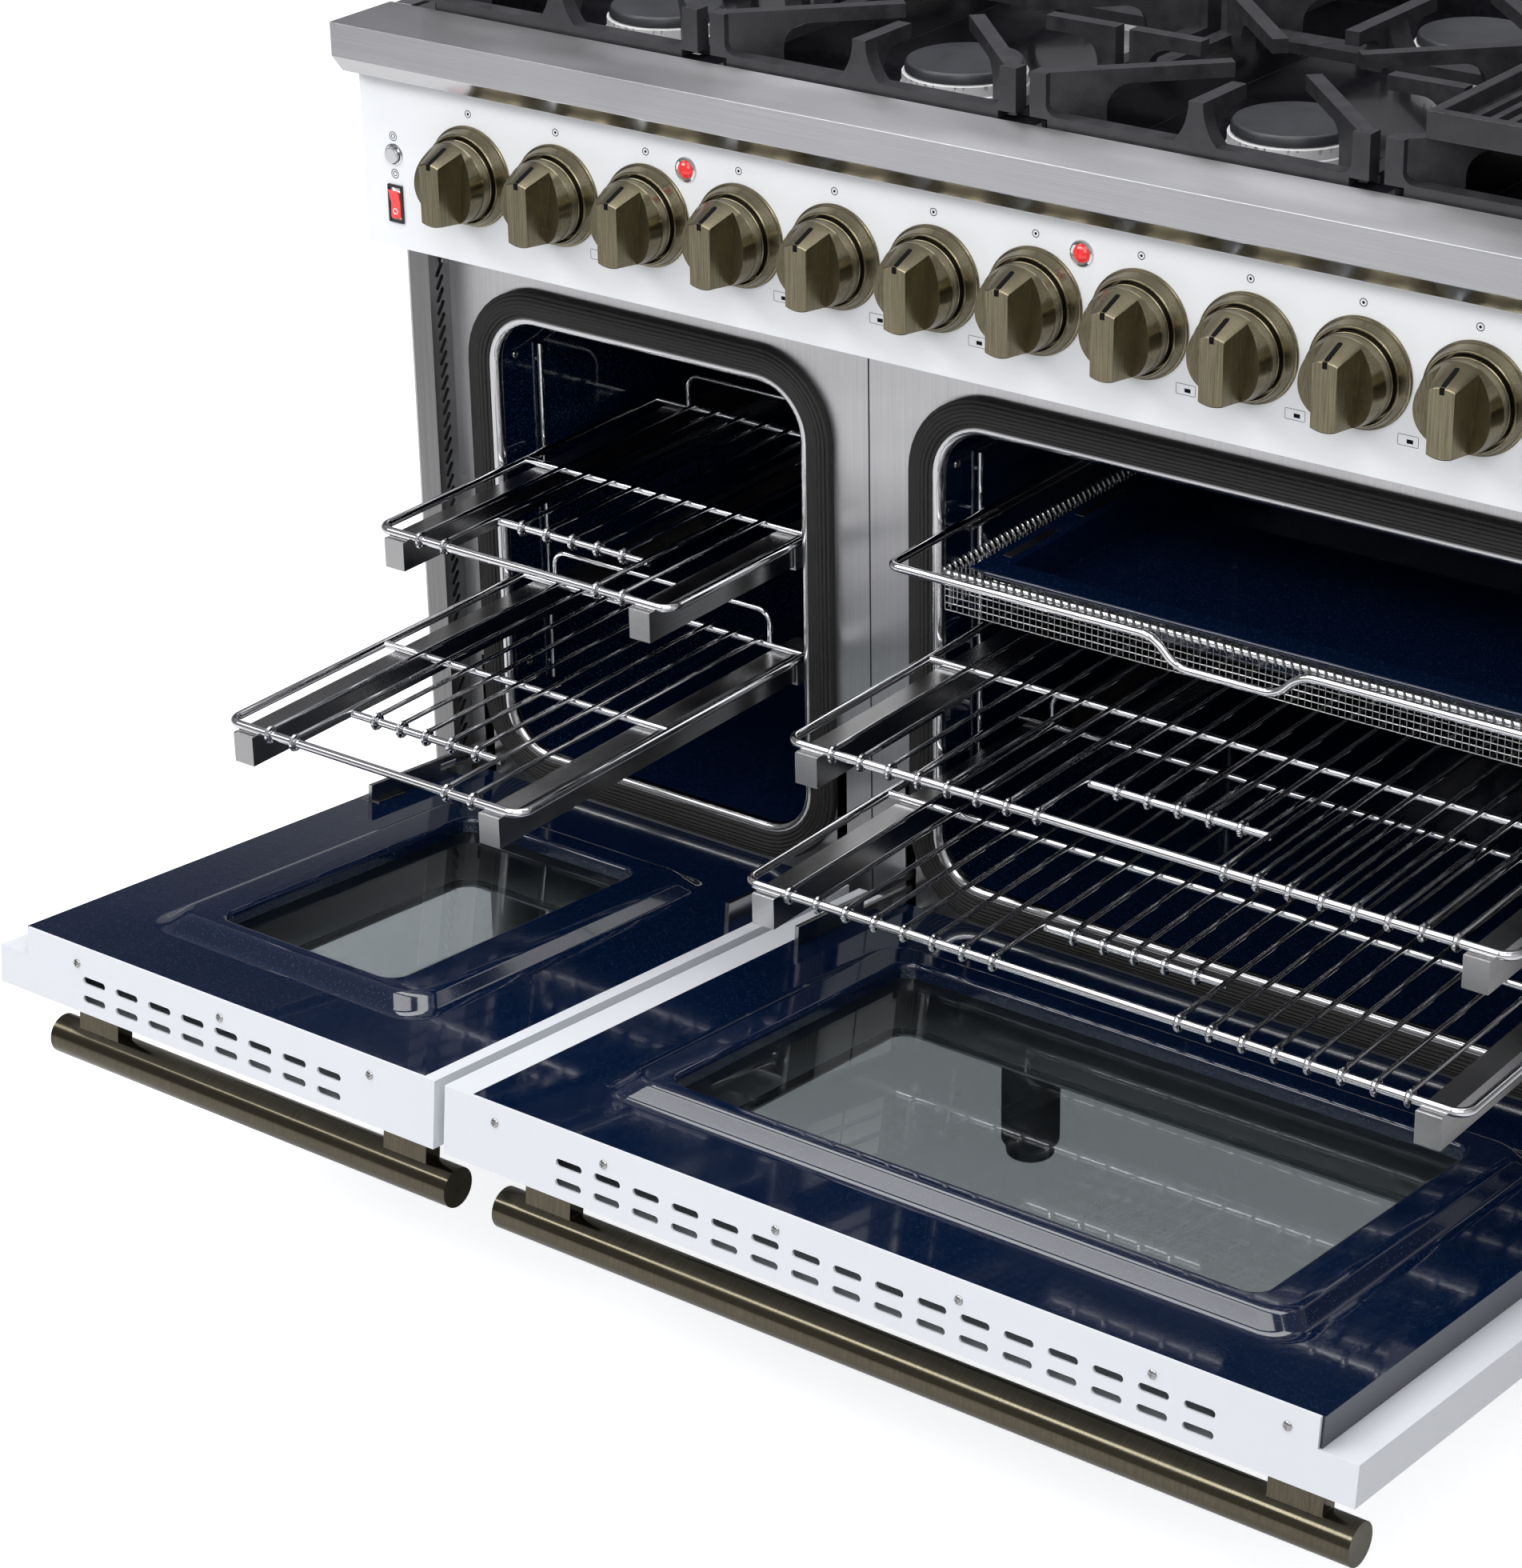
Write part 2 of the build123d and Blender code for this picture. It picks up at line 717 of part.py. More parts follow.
# Doors: a white outer shell, an enamelled liner with a raised window frame, glass, a handle and hinge arms
rim_level = liner_level - liner_sheet
raised_level = liner_level + window_rise
door_far = door_length
door_near = -door_heel
window_far = door_far - window_front_margin
glass_far = door_far - glass_front_margin
for side in sides:
    low, high = door_limits(side)
    liner_low, liner_high = liner_limits(side)
    deep_low = liner_low + liner_sheet if side == "left" else low
    deep_high = high if side == "left" else liner_high - liner_sheet
    rim_x = (liner_high, high) if side == "left" else (low, liner_low)
    flange_x = (liner_low, deep_low) if side == "left" else (deep_high, liner_high)
    liner_far = door_far - liner_end_inset
    door_mid = (low + high) / 2
    pane_mid = oven_centres[side]
    notches = []
    for x, inward in arm_xs(side):
        pin_end = x - inward * (arm_thickness / 2 + pin_stickout + notch_clearance)
        ear_end = x + inward * (ear_offset + ear_thickness / 2 + notch_clearance)
        notches.append((min(pin_end, ear_end), max(pin_end, ear_end)))
    notch_along = (door_near - notch_clearance, ear_half_height + notch_clearance)
    notch_level = (-ear_half_height - notch_clearance, raised_level)
    pane_width = 2 * (oven_half_widths[side] - glass_side_margins[side])
    slot_count = int((high - low - 2 * slot_end_margin) / slot_pitch)
    pane_along = (glass_far - glass_length, glass_far)
    pane_centre = (pane_mid, -sum(pane_along) / 2)

    with BuildPart() as shell:
        door_block((low, high), (door_near, door_far), (outer_level, step_level))
        door_block((deep_low, deep_high), (door_near, door_far), (step_level, rim_level))
        door_block(
            (low + shell_wall, high - shell_wall),
            (door_near + shell_wall, door_far - shell_wall),
            (outer_level + shell_wall, step_level - shell_wall),
            mode=Mode.SUBTRACT,
        )
        door_block(
            (deep_low + shell_wall, deep_high - shell_wall),
            (door_near + shell_wall, door_far - shell_wall),
            (outer_level + shell_wall, rim_level - shell_wall),
            mode=Mode.SUBTRACT,
        )
        door_block(
            (liner_low + liner_lap, liner_high - liner_lap),
            (door_near + liner_lap, door_far - liner_lap),
            (step_level, rim_level),
            mode=Mode.SUBTRACT,
        )
        door_block(rim_x, (door_near, door_far), (rim_level, liner_level))
        door_block((deep_low, deep_high), (liner_far, door_far), (rim_level, liner_level))
        with BuildSketch(door_plane.offset(outer_level)):
            with Locations(pane_centre):
                RectangleRounded(pane_width, glass_length, glass_radius)
        extrude(amount=shell_wall, mode=Mode.SUBTRACT)
        end_plane = Plane(door_plane.from_local_coords((0, -door_far, 0)), (1, 0, 0), -door_plane.y_dir)
        with BuildSketch(end_plane):
            for slot_level in slot_levels:
                with Locations((door_mid, slot_level)):
                    with GridLocations(slot_pitch, slot_pitch, slot_count, 1):
                        SlotOverall(slot_length, slot_height)
        extrude(amount=-2 * shell_wall, mode=Mode.SUBTRACT)
        for notch in notches:
            door_block(notch, notch_along, notch_level, mode=Mode.SUBTRACT)
    keep(shell, f"{side}_door_shell")

    with BuildPart() as liner:
        door_block((liner_low, liner_high), (door_near, liner_far), (rim_level, liner_level))
        door_block(flange_x, (door_near, liner_far), (step_level, rim_level))
        frame_centre = (pane_mid, -(window_far - window_length / 2))
        frame_width = 2 * (oven_half_widths[side] - window_side_margins[side])
        with BuildSketch(door_plane.offset(liner_level)):
            with Locations(frame_centre):
                RectangleRounded(frame_width, window_length, window_radius)
        with BuildSketch(door_plane.offset(raised_level)):
            with Locations(frame_centre):
                RectangleRounded(
                    frame_width - 2 * window_taper, window_length - 2 * window_taper, window_radius
                )
        loft()
        with BuildSketch(door_plane.offset(rim_level)):
            with Locations(frame_centre):
                RectangleRounded(
                    frame_width - 2 * liner_sheet,
                    window_length - 2 * liner_sheet,
                    window_radius - liner_sheet,
                )
        with BuildSketch(door_plane.offset(raised_level - liner_sheet)):
            with Locations(frame_centre):
                RectangleRounded(
                    frame_width - 2 * window_taper - 2 * liner_sheet,
                    window_length - 2 * window_taper - 2 * liner_sheet,
                    window_radius - liner_sheet,
                )
        loft(mode=Mode.SUBTRACT)
        with BuildSketch(door_plane.offset(liner_level)):
            with Locations(pane_centre):
                RectangleRounded(
                    pane_width + 2 * liner_sheet, glass_length + 2 * liner_sheet, glass_radius + liner_sheet
                )
        extrude(amount=window_rise)
        with BuildSketch(door_plane.offset(rim_level)):
            with Locations(pane_centre):
                RectangleRounded(pane_width, glass_length, glass_radius)
        extrude(amount=window_rise + liner_sheet, mode=Mode.SUBTRACT)
        for notch in notches:
            door_block(notch, notch_along, notch_level, mode=Mode.SUBTRACT)
    keep(liner, f"{side}_door_liner")

    with BuildPart() as glass:
        for pane_level in (outer_level + shell_wall, liner_level - glass_thickness):
            with BuildSketch(door_plane.offset(pane_level)):
                with Locations(pane_centre):
                    RectangleRounded(
                        pane_width + 2 * glass_lap, glass_length + 2 * glass_lap, glass_radius + glass_lap
                    )
            extrude(amount=glass_thickness)
    keep(glass, f"{side}_door_glass")

    with BuildPart() as handle:
        grip_along = door_far - handle_from_end
        grip_level = outer_level - handle_stand
        grip_low = door_plane.from_local_coords((low + handle_end_inset, -grip_along, grip_level))
        grip_high = door_plane.from_local_coords((high - handle_end_inset, -grip_along, grip_level))
        rod(grip_low, grip_high, handle_radius)
        for x in (low + handle_end_inset + post_inset, high - handle_end_inset - post_inset):
            door_block(
                (x - post_width / 2, x + post_width / 2),
                (grip_along - post_depth / 2, grip_along + post_depth / 2),
                (grip_level, outer_level),
            )
    keep(handle, f"{side}_door_handle")

    with BuildPart() as hinge_arms:
        for x, _ in arm_xs(side):
            arm_plane = Plane((x, hinge_y, hinge_height), x_dir=door_plane.y_dir, z_dir=(1, 0, 0))
            with BuildSketch(arm_plane):
                with Locations(((arm_tail - arm_reach) / 2, liner_level + arm_height / 2)):
                    Rectangle(arm_tail + arm_reach, arm_height)
                Circle(arm_hub_radius)
                with Locations((0, liner_level / 2)):
                    Rectangle(2 * arm_hub_radius, liner_level)
                with Locations((arm_tail - fork_length / 2, liner_level + arm_height / 2)):
                    Rectangle(fork_length, fork_gap, mode=Mode.SUBTRACT)
                Circle(pin_radius + pin_clearance, mode=Mode.SUBTRACT)
            extrude(amount=arm_thickness / 2, both=True)
    keep(hinge_arms, f"{side}_door_hinge_arms")

# Rack ladders on the cavity walls, with hooks that carry the slide runners and rests for the basket
basket_half_width = oven_half_widths["right"] - basket_side_gap
runner_low = rail_height / 2 + runner_clearance + runner_sheet
ladder_low_z = opening_bottom + opening_radius
ladder_high_z = opening_top - opening_radius
rest_z = basket_level - basket_wire - ladder_radius - moving_gap
with BuildPart() as rack_ladders:
    for side in sides:
        hook_zs = [level - rail_height / 4 for rack, level in rack_levels.items() if rack.startswith(side)]
        for sign in (-1, 1):
            wall_x = oven_centres[side] + sign * oven_half_widths[side]
            post_x = wall_x - sign * (ladder_gap + ladder_radius)
            runner_x = wall_x - sign * (rail_from_wall - rail_width / 2 - runner_clearance - runner_sheet)
            for station in ladder_stations:
                y = front_y + station
                rod((post_x, y, ladder_low_z), (post_x, y, ladder_high_z), ladder_radius)
                for stud_z in (ladder_low_z + ladder_stud_inset, ladder_high_z - ladder_stud_inset):
                    rod((wall_x, y, stud_z), (post_x, y, stud_z), hook_radius)
                for hook_z in hook_zs:
                    rod((post_x, y, hook_z), (runner_x, y, hook_z), hook_radius)
    for sign in (-1, 1):
        rest_x = oven_centres["right"] + sign * basket_half_width
        post_x = oven_centres["right"] + sign * (oven_half_widths["right"] - ladder_gap - ladder_radius)
        rest_front_y = front_y + ladder_stations[0] - rest_lead
        rod((rest_x, rest_front_y, rest_z), (rest_x, cavity_back_y, rest_z), ladder_radius)
        for station in ladder_stations:
            rod((post_x, front_y + station, rest_z), (rest_x, front_y + station, rest_z), hook_radius)
keep(rack_ladders, "rack_ladders")

# Slide runners: angle strips that the rack rails slide along
with BuildPart() as rack_runners:
    for rack, level in rack_levels.items():
        side = rack.split("_")[0]
        for sign in (-1, 1):
            rail_x = oven_centres[side] + sign * (oven_half_widths[side] - rail_from_wall)
            out_x = rail_x + sign * (rail_width / 2 + runner_clearance)
            start = frame_y + sheet + runner_lead
            low_z = level - runner_low
            flat = sorted((rail_x - sign * rail_width / 4, out_x + sign * runner_sheet))
            block((flat[0], start, low_z), (flat[1], cavity_back_y, low_z + runner_sheet))
            wall = sorted((out_x, out_x + sign * runner_sheet))
            block((wall[0], start, low_z), (wall[1], cavity_back_y, level + runner_rise))
keep(rack_runners, "rack_runners")

# Racks: a wire grid on two capped slide rails
for rack, level in rack_levels.items():
    side = rack.split("_")[0]
    centre = oven_centres[side]
    rail_out = oven_half_widths[side] - rail_from_wall
    cap_y = front_y - rack_reach[rack]
    front_bar_y = cap_y + rack_front_inset
    back_bar_y = front_bar_y + rack_depth
    rail_top_z = level + rail_height / 2
    bar_z = rail_top_z + bar_radius - wire_weld
    rung_z = bar_z + cross_bar_radius + rung_radius - wire_weld
    loop_end_y = back_bar_y + wire_overrun
    loop_out = rail_out + rack_loop_out
    with BuildPart() as grid:
        for sign in (-1, 1):
            rail_x = centre + sign * rail_out
            block(
                (rail_x - rail_width / 2, cap_y, level - rail_height / 2),
                (rail_x + rail_width / 2, cap_y + rail_length, rail_top_z),
            )
            block(
                (rail_x - rail_width / 2 + rail_wall, cap_y + rail_cap, level - rail_height / 2),
                (rail_x + rail_width / 2 - rail_wall, cap_y + rail_length, rail_top_z - rail_wall),
                mode=Mode.SUBTRACT,
            )
        bent_wire(
            [
                (centre - loop_out, loop_end_y, bar_z),
                (centre - loop_out, front_bar_y, bar_z),
                (centre + loop_out, front_bar_y, bar_z),
                (centre + loop_out, loop_end_y, bar_z),
            ],
            bar_radius,
            rack_loop_bend,
        )
        for bar_y in (front_bar_y + rack_mid, back_bar_y):
            rod((centre - loop_out, bar_y, bar_z), (centre + loop_out, bar_y, bar_z), cross_bar_radius)
        short_half = (middle_rungs * rung_pitch + short_bar_end) / 2
        short_y = front_bar_y + short_bar_setback
        rod((centre - short_half, short_y, bar_z), (centre + short_half, short_y, bar_z), cross_bar_radius)
        rungs_each_side = int((rail_out - rung_from_rail) / rung_pitch)
        rung_xs = [i * rung_pitch for i in range(-rungs_each_side, rungs_each_side + 1)]
        rung_end = facing_plane(centre, loop_end_y, rung_z)
        rung_run = rack_depth + 2 * wire_overrun
        with BuildSketch(rung_end):
            with Locations(*[(x, 0) for x in rung_xs if abs(x) > short_half]):
                Circle(rung_radius)
        extrude(amount=rung_run)
        with BuildSketch(rung_end):
            with Locations(*[(x, 0) for x in rung_xs if abs(x) < short_half]):
                Circle(rung_radius)
        extrude(amount=rung_run - short_bar_setback)
        stop_out = loop_out - backstop_inset
        bent_wire(
            [
                (centre - stop_out, back_bar_y, bar_z),
                (centre - stop_out, back_bar_y, bar_z + backstop_rise),
                (centre + stop_out, back_bar_y, bar_z + backstop_rise),
                (centre + stop_out, back_bar_y, bar_z),
            ],
            cross_bar_radius - wire_weld,
            rack_loop_bend,
        )
    keep(grid, f"{rack}_rack")

# Air-fry basket: a wire frame with a dropped grip in front, and a mesh tray hung in it
basket_x = oven_centres["right"]
basket_mesh_half = basket_half_width - basket_mesh_side
tray_half_width = basket_mesh_half - tray_side_gap
basket_y = front_y + basket_front
basket_back_y = basket_y + basket_depth
grip_z = basket_level - basket_handle_drop
with BuildPart() as air_fry_basket:
    grip_foot = basket_handle_half - basket_handle_drop
    bent_wire(
        [
            (basket_x - basket_half_width, basket_back_y + wire_overrun, basket_level),
            (basket_x - basket_half_width, basket_y, basket_level),
            (basket_x - basket_handle_half, basket_y, basket_level),
            (basket_x - grip_foot, basket_y, grip_z),
            (basket_x + grip_foot, basket_y, grip_z),
            (basket_x + basket_handle_half, basket_y, basket_level),
            (basket_x + basket_half_width, basket_y, basket_level),
            (basket_x + basket_half_width, basket_back_y + wire_overrun, basket_level),
        ],
        basket_wire,
        rack_loop_bend,
    )
    rod(
        (basket_x - basket_half_width, basket_back_y, basket_level),
        (basket_x + basket_half_width, basket_back_y, basket_level),
        cross_bar_radius,
    )
    mesh_low = (basket_x - basket_mesh_half, basket_y + wire_weld, basket_level - basket_mesh_drop)
    mesh_high = (basket_x + basket_mesh_half, basket_back_y - wire_weld, basket_level + wire_weld)
    block(mesh_low, mesh_high)
    block(
        tuple(a + basket_mesh_sheet for a in mesh_low),
        (mesh_high[0] - basket_mesh_sheet, mesh_high[1] - basket_mesh_sheet, mesh_high[2]),
        mode=Mode.SUBTRACT,
    )
    block(
        (basket_x - basket_handle_half, basket_y - basket_wire, grip_z),
        (basket_x + basket_handle_half, basket_y + basket_mesh_inset, basket_level - basket_wire),
        mode=Mode.SUBTRACT,
    )
keep(air_fry_basket, "air_fry_basket")

# Enamelled tray in the basket
tray_floor_z = basket_level - basket_mesh_drop + basket_mesh_sheet + tray_float
with BuildPart() as air_fry_tray:
    tray_low = (basket_x - tray_half_width, basket_y + tray_inset)
    tray_high = (basket_x + tray_half_width, basket_back_y - tray_inset)
    tray_top_z = basket_level + tray_stand
    block((*tray_low, tray_top_z - tray_sheet), (*tray_high, tray_top_z))
    block(
        (tray_low[0] + tray_rim, tray_low[1] + tray_rim, tray_floor_z),
        (tray_high[0] - tray_rim, tray_high[1] - tray_rim, tray_top_z),
    )
    block(
        (tray_low[0] + tray_rim + tray_sheet, tray_low[1] + tray_rim + tray_sheet, tray_floor_z + tray_sheet),
        (tray_high[0] - tray_rim - tray_sheet, tray_high[1] - tray_rim - tray_sheet, tray_top_z),
        mode=Mode.SUBTRACT,
    )
keep(air_fry_tray, "air_fry_tray")

# Drip pan: one folded tray under all the burners, with a rim and ribs that the grates stand on
pan_half = half_width - side_border
pan_low_y = front_y + pan_front
pan_high_y = front_y + pan_back
pan_top_z = ledge_top - pan_sheet
rib_xs = [-half_width + grate_side_inset + i * section_pitch for i in range(grate_sections + 1)]
wall_xs = [-pan_half] + rib_xs[1:-1] + [pan_half]
with BuildPart() as drip_pan:
    block((-pan_half, pan_low_y, pan_floor_z - pan_sheet), (pan_half, pan_high_y, pan_top_z))
    for left_x, right_x in zip(wall_xs, wall_xs[1:]):
        block(
            (left_x + pan_flange, pan_low_y + pan_flange, pan_floor_z),
            (right_x - pan_flange, pan_high_y - pan_flange, pan_top_z),
            mode=Mode.SUBTRACT,
        )
    for x in wall_xs:
        block(
            (x - pan_flange + pan_sheet, pan_low_y, pan_floor_z - pan_sheet),
            (x + pan_flange - pan_sheet, pan_high_y, pan_top_z - pan_sheet),
            mode=Mode.SUBTRACT,
        )
    for low_y, high_y in (
        (pan_low_y, pan_low_y + pan_flange - pan_sheet),
        (pan_high_y - pan_flange + pan_sheet, pan_high_y),
    ):
        block(
            (-pan_half, low_y, pan_floor_z - pan_sheet),
            (pan_half, high_y, pan_top_z - pan_sheet),
            mode=Mode.SUBTRACT,
        )
keep(drip_pan, "drip_pan")

# Burner heads and their caps
with BuildPart() as burner_heads:
    for x, y in burner_points:
        rod((x, y, pan_floor_z), (x, y, pan_floor_z + burner_height), burner_radius)
keep(burner_heads, "burner_heads")

cap_z = pan_floor_z + burner_height
with BuildPart() as burner_caps:
    for x, y in burner_points:
        with BuildSketch(Plane.XY.offset(cap_z)):
            with Locations((x, y)):
                Circle(cap_radius)
        extrude(amount=cap_height, taper=cap_bevel)
keep(burner_caps, "burner_caps")

# Grates: a low cast frame with corner posts and flared middle posts, and arched fingers that point at the two
# burners; the frame is notched under each corner
grate_base_z = pan_top_z + grate_float
grate_half = (section_pitch - grate_gap) / 2
post_height = grate_top - grate_base_z


def grate_finger(root, target, length, foot):
    """An arched finger from a post at root, pointing at target, with a deep foot under its start."""
    aim = (Vector(*target) - Vector(*root)).normalized()
    side_on = Plane((*root, grate_base_z), x_dir=(aim.X, aim.Y, 0), z_dir=(aim.Y, -aim.X, 0))
    under = post_height - finger_depth
    with BuildSketch(side_on) as section:
        with BuildLine() as outline:
            Polyline((foot, 0), (0, 0), (0, post_height), (length, post_height), (length, under))
            Line((length, under), (foot + finger_arch, under))
            RadiusArc((foot + finger_arch, under), (foot, under - finger_arch), -finger_arch)
            Line((foot, under - finger_arch), (foot, 0))
        make_face(outline.line)
    extrude(section.sketch, amount=finger_width / 2, both=True)


def post_flare(y):
    """A flared middle post on a cross bar of the frame."""
    with BuildSketch(facing_plane(0, y, grate_base_z)) as section:
        with BuildLine() as outline:
            Polyline((-flare_base, grate_bar_height), (-flare_base, 0), (flare_base, 0))
            Line((flare_base, 0), (flare_base, grate_bar_height))
            RadiusArc((flare_base, grate_bar_height), (flare_top, post_height), flare_curve)
            Line((flare_top, post_height), (-flare_top, post_height))
            RadiusArc((-flare_top, post_height), (-flare_base, grate_bar_height), flare_curve)
        make_face(outline.line)
    extrude(section.sketch, amount=grate_bar / 2, both=True)


def corner_post(sign, y):
    """A post at one corner of the frame, with a cast fillet down to the cross bar."""
    outer = sign * grate_half
    inner = outer - sign * grate_bar
    toe = inner - sign * post_fillet
    fillet_top = grate_bar_height + post_fillet
    with BuildSketch(facing_plane(0, y, grate_base_z)) as section:
        with BuildLine() as outline:
            Polyline((toe, grate_bar_height), (toe, 0), (outer, 0), (outer, post_height))
            Polyline((outer, post_height), (inner, post_height), (inner, fillet_top))
            RadiusArc((inner, fillet_top), (toe, grate_bar_height), sign * post_fillet)
        make_face(outline.line)
    extrude(section.sketch, amount=grate_bar / 2, both=True)


with BuildPart() as grate_casting:
    bar_top_z = grate_base_z + grate_bar_height
    block((-grate_half, grate_low_y, grate_base_z), (grate_half, grate_high_y, bar_top_z))
    for low_y, high_y in ((grate_low_y, grate_mid_y), (grate_mid_y, grate_high_y)):
        block(
            (-grate_half + grate_bar, low_y + grate_bar, grate_base_z),
            (grate_half - grate_bar, high_y - grate_bar, bar_top_z),
            mode=Mode.SUBTRACT,
        )
    corner_x = grate_half - grate_bar / 2
    for burner_y in burner_ys:
        near_y = burner_y - (grate_mid_y - grate_low_y) / 2
        far_y = burner_y + (grate_mid_y - grate_low_y) / 2
        for end_y, inward in ((near_y, 1), (far_y, -1)):
            root_y = end_y + inward * grate_bar / 2
            for sign in (-1, 1):
                corner = (sign * corner_x, root_y)
                span = (Vector(*corner) - Vector(0, burner_y)).length
                grate_finger(corner, (0, burner_y), span - corner_tip, corner_foot)
                corner_post(sign, root_y)
            grate_finger((0, root_y), (0, burner_y), abs(burner_y - root_y) - middle_tip, middle_foot)
            post_flare(root_y)
        for sign in (-1, 1):
            grate_finger((sign * grate_half, burner_y), (0, burner_y), side_reach, middle_foot)
    for sign in (-1, 1):
        notch_xs = sorted((sign * (grate_half - notch_width), sign * grate_half))
        for notch_y in (grate_low_y, grate_high_y - notch_depth):
            block(
                (notch_xs[0], notch_y, grate_base_z),
                (notch_xs[1], notch_y + notch_depth, grate_base_z + notch_height),
                mode=Mode.SUBTRACT,
            )
for number, centre in enumerate(section_xs, 1):
    with BuildPart() as grate:
        with Locations((centre, 0, 0)):
            add(grate_casting.part)
    keep(grate, f"grate_{number}")

# Ribbed grill plate on the right-hand grate, with a raised grip in the middle of each side wall
grill_x = section_xs[-1]
grill_half_width = section_pitch / 2 - grill_side_gap
grill_z = grate_top + grate_float
grill_low_y = grate_low_y + grill_setback
grill_high_y = grill_low_y + grill_depth
with BuildPart() as ribbed_plate:
    low = (grill_x - grill_half_width, grill_low_y, grill_z)
    high = (grill_x + grill_half_width, grill_high_y, grill_z + grill_rim)
    block(low, high)
    block(
        (low[0], low[1] + grill_grip_inset, high[2]),
        (high[0], high[1] - grill_grip_inset, high[2] + grill_grip_rise),
    )
    inner_low = (low[0] + grill_rim_width, low[1] + grill_rim_width, grill_z + grill_plate)
    inner_high = (high[0] - grill_rim_width, high[1] - grill_rim_width, high[2] + grill_grip_rise)
    block(inner_low, inner_high, mode=Mode.SUBTRACT)
    rib_pitch = (inner_high[0] - inner_low[0]) / (grill_ribs + 1)
    rib_length = inner_high[1] - inner_low[1] - 2 * grill_rim_width
    with BuildSketch(Plane.XY.offset(grill_z + grill_plate)):
        with Locations((grill_x, (inner_low[1] + inner_high[1]) / 2)):
            with GridLocations(rib_pitch, rib_length, grill_ribs, 1):
                Rectangle(grill_rib_width, rib_length)
    extrude(amount=grill_rib_height)
keep(ribbed_plate, "grill_plate")

# Rear trim: a low stainless vent along the back of the cooktop
with BuildPart() as rear_trim:
    trim_front_y = pan_high_y + trim_gap
    trim_low = (-half_width + side_border, trim_front_y, ledge_top - pan_sheet)
    trim_high = (half_width - side_border, back_y - sheet, ledge_top + trim_rise)
    block(trim_low, trim_high)
    block(
        (trim_low[0] + sheet, trim_low[1] + sheet, trim_low[2]),
        (trim_high[0] - sheet, trim_high[1] - sheet, trim_high[2] - sheet),
        mode=Mode.SUBTRACT,
    )
    vent_count = int((trim_high[0] - trim_low[0] - 2 * vent_end_margin) / vent_pitch)
    with BuildSketch(Plane.XY.offset(trim_high[2] - sheet)):
        with Locations((0, (trim_front_y + back_y - sheet) / 2)):
            with GridLocations(vent_pitch, vent_pitch, vent_count, 1):
                SlotOverall(vent_length, vent_width)
    extrude(amount=sheet, mode=Mode.SUBTRACT)
keep(rear_trim, "rear_trim")
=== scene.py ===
# %% [markdown]
# # A freestanding gas range with its doors open
# The range is a box of folded sheet: two enamelled ovens behind a stainless frame, a white control panel with
# twelve brass knobs, and cast iron grates over eight burners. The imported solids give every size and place, so
# this lesson reads them first and never moves them.

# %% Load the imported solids
import json
from math import atan, atan2, cos, degrees, radians, sin, tau

import bmesh
import bpy
from mathutils import Matrix, Vector


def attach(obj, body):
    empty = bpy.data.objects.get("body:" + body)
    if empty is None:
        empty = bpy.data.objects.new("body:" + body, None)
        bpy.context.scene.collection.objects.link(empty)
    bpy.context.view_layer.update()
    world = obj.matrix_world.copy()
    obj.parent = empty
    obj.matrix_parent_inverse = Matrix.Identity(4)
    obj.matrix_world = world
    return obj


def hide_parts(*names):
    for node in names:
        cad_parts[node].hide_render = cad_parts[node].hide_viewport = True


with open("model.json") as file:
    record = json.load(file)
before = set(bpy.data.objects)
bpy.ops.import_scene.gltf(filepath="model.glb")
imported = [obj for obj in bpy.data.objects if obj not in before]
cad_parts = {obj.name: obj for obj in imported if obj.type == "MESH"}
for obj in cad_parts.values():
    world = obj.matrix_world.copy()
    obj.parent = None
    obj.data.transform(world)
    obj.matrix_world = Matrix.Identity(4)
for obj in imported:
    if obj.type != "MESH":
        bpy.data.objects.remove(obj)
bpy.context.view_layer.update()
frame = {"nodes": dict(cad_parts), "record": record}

mm = 0.001
solids = frame["nodes"]
carrier = {}
for body, members in frame["record"]["behaviour"]["bodies"].items():
    for member in members:
        carrier[member] = body

# %% [markdown]
# ## Camera
# The photograph looks down on the right front corner through a long lens, from about three metres away. The
# turn, rise and roll were fitted to the straight edges of the range, so the camera is built from its own
# three axes instead of being aimed by eye.

# %% Camera
view_turn = radians(37.56)
view_rise = radians(25.64)
view_roll = radians(-1.19)
camera_place = Vector((1.63686, -2.51400, 1.76552))
camera_lens = 96.33
film_width = 36.0

backward = Vector((sin(view_turn) * cos(view_rise), -cos(view_turn) * cos(view_rise), sin(view_rise)))
level_right = (-backward).cross(Vector((0, 0, 1))).normalized()
level_up = level_right.cross(-backward)
right = level_right * cos(view_roll) + level_up * sin(view_roll)
up = level_up * cos(view_roll) - level_right * sin(view_roll)
camera_data = bpy.data.cameras.new("camera")
camera_data.lens = camera_lens
camera_data.sensor_width = film_width
camera = bpy.data.objects.new("camera", camera_data)
camera.matrix_world = Matrix.Translation(camera_place) @ Matrix((right, up, backward)).transposed().to_4x4()
bpy.context.scene.collection.objects.link(camera)
bpy.context.scene.camera = camera
print("camera at", [round(value, 2) for value in camera.location])

# %% [markdown]
# ## Hand tools
# Every piece is made with the same few moves: add a primitive, select what is to change, shape it, apply a
# modifier, and give the piece its finish and its body. An operator works on whatever is selected, so each
# move starts by selecting one piece alone.

# %% Select, apply and settle
def alone(piece):
    """Select one piece and nothing else."""
    bpy.ops.object.select_all(action="DESELECT")
    piece.select_set(True)
    bpy.context.view_layer.objects.active = piece


def shaped(piece, kind, **settings):
    """Give a piece a modifier and apply it at once."""
    alone(piece)
    modifier = piece.modifiers.new(kind.lower(), kind)
    for key, value in settings.items():
        setattr(modifier, key, value)
    bpy.ops.object.modifier_apply(modifier=modifier.name)


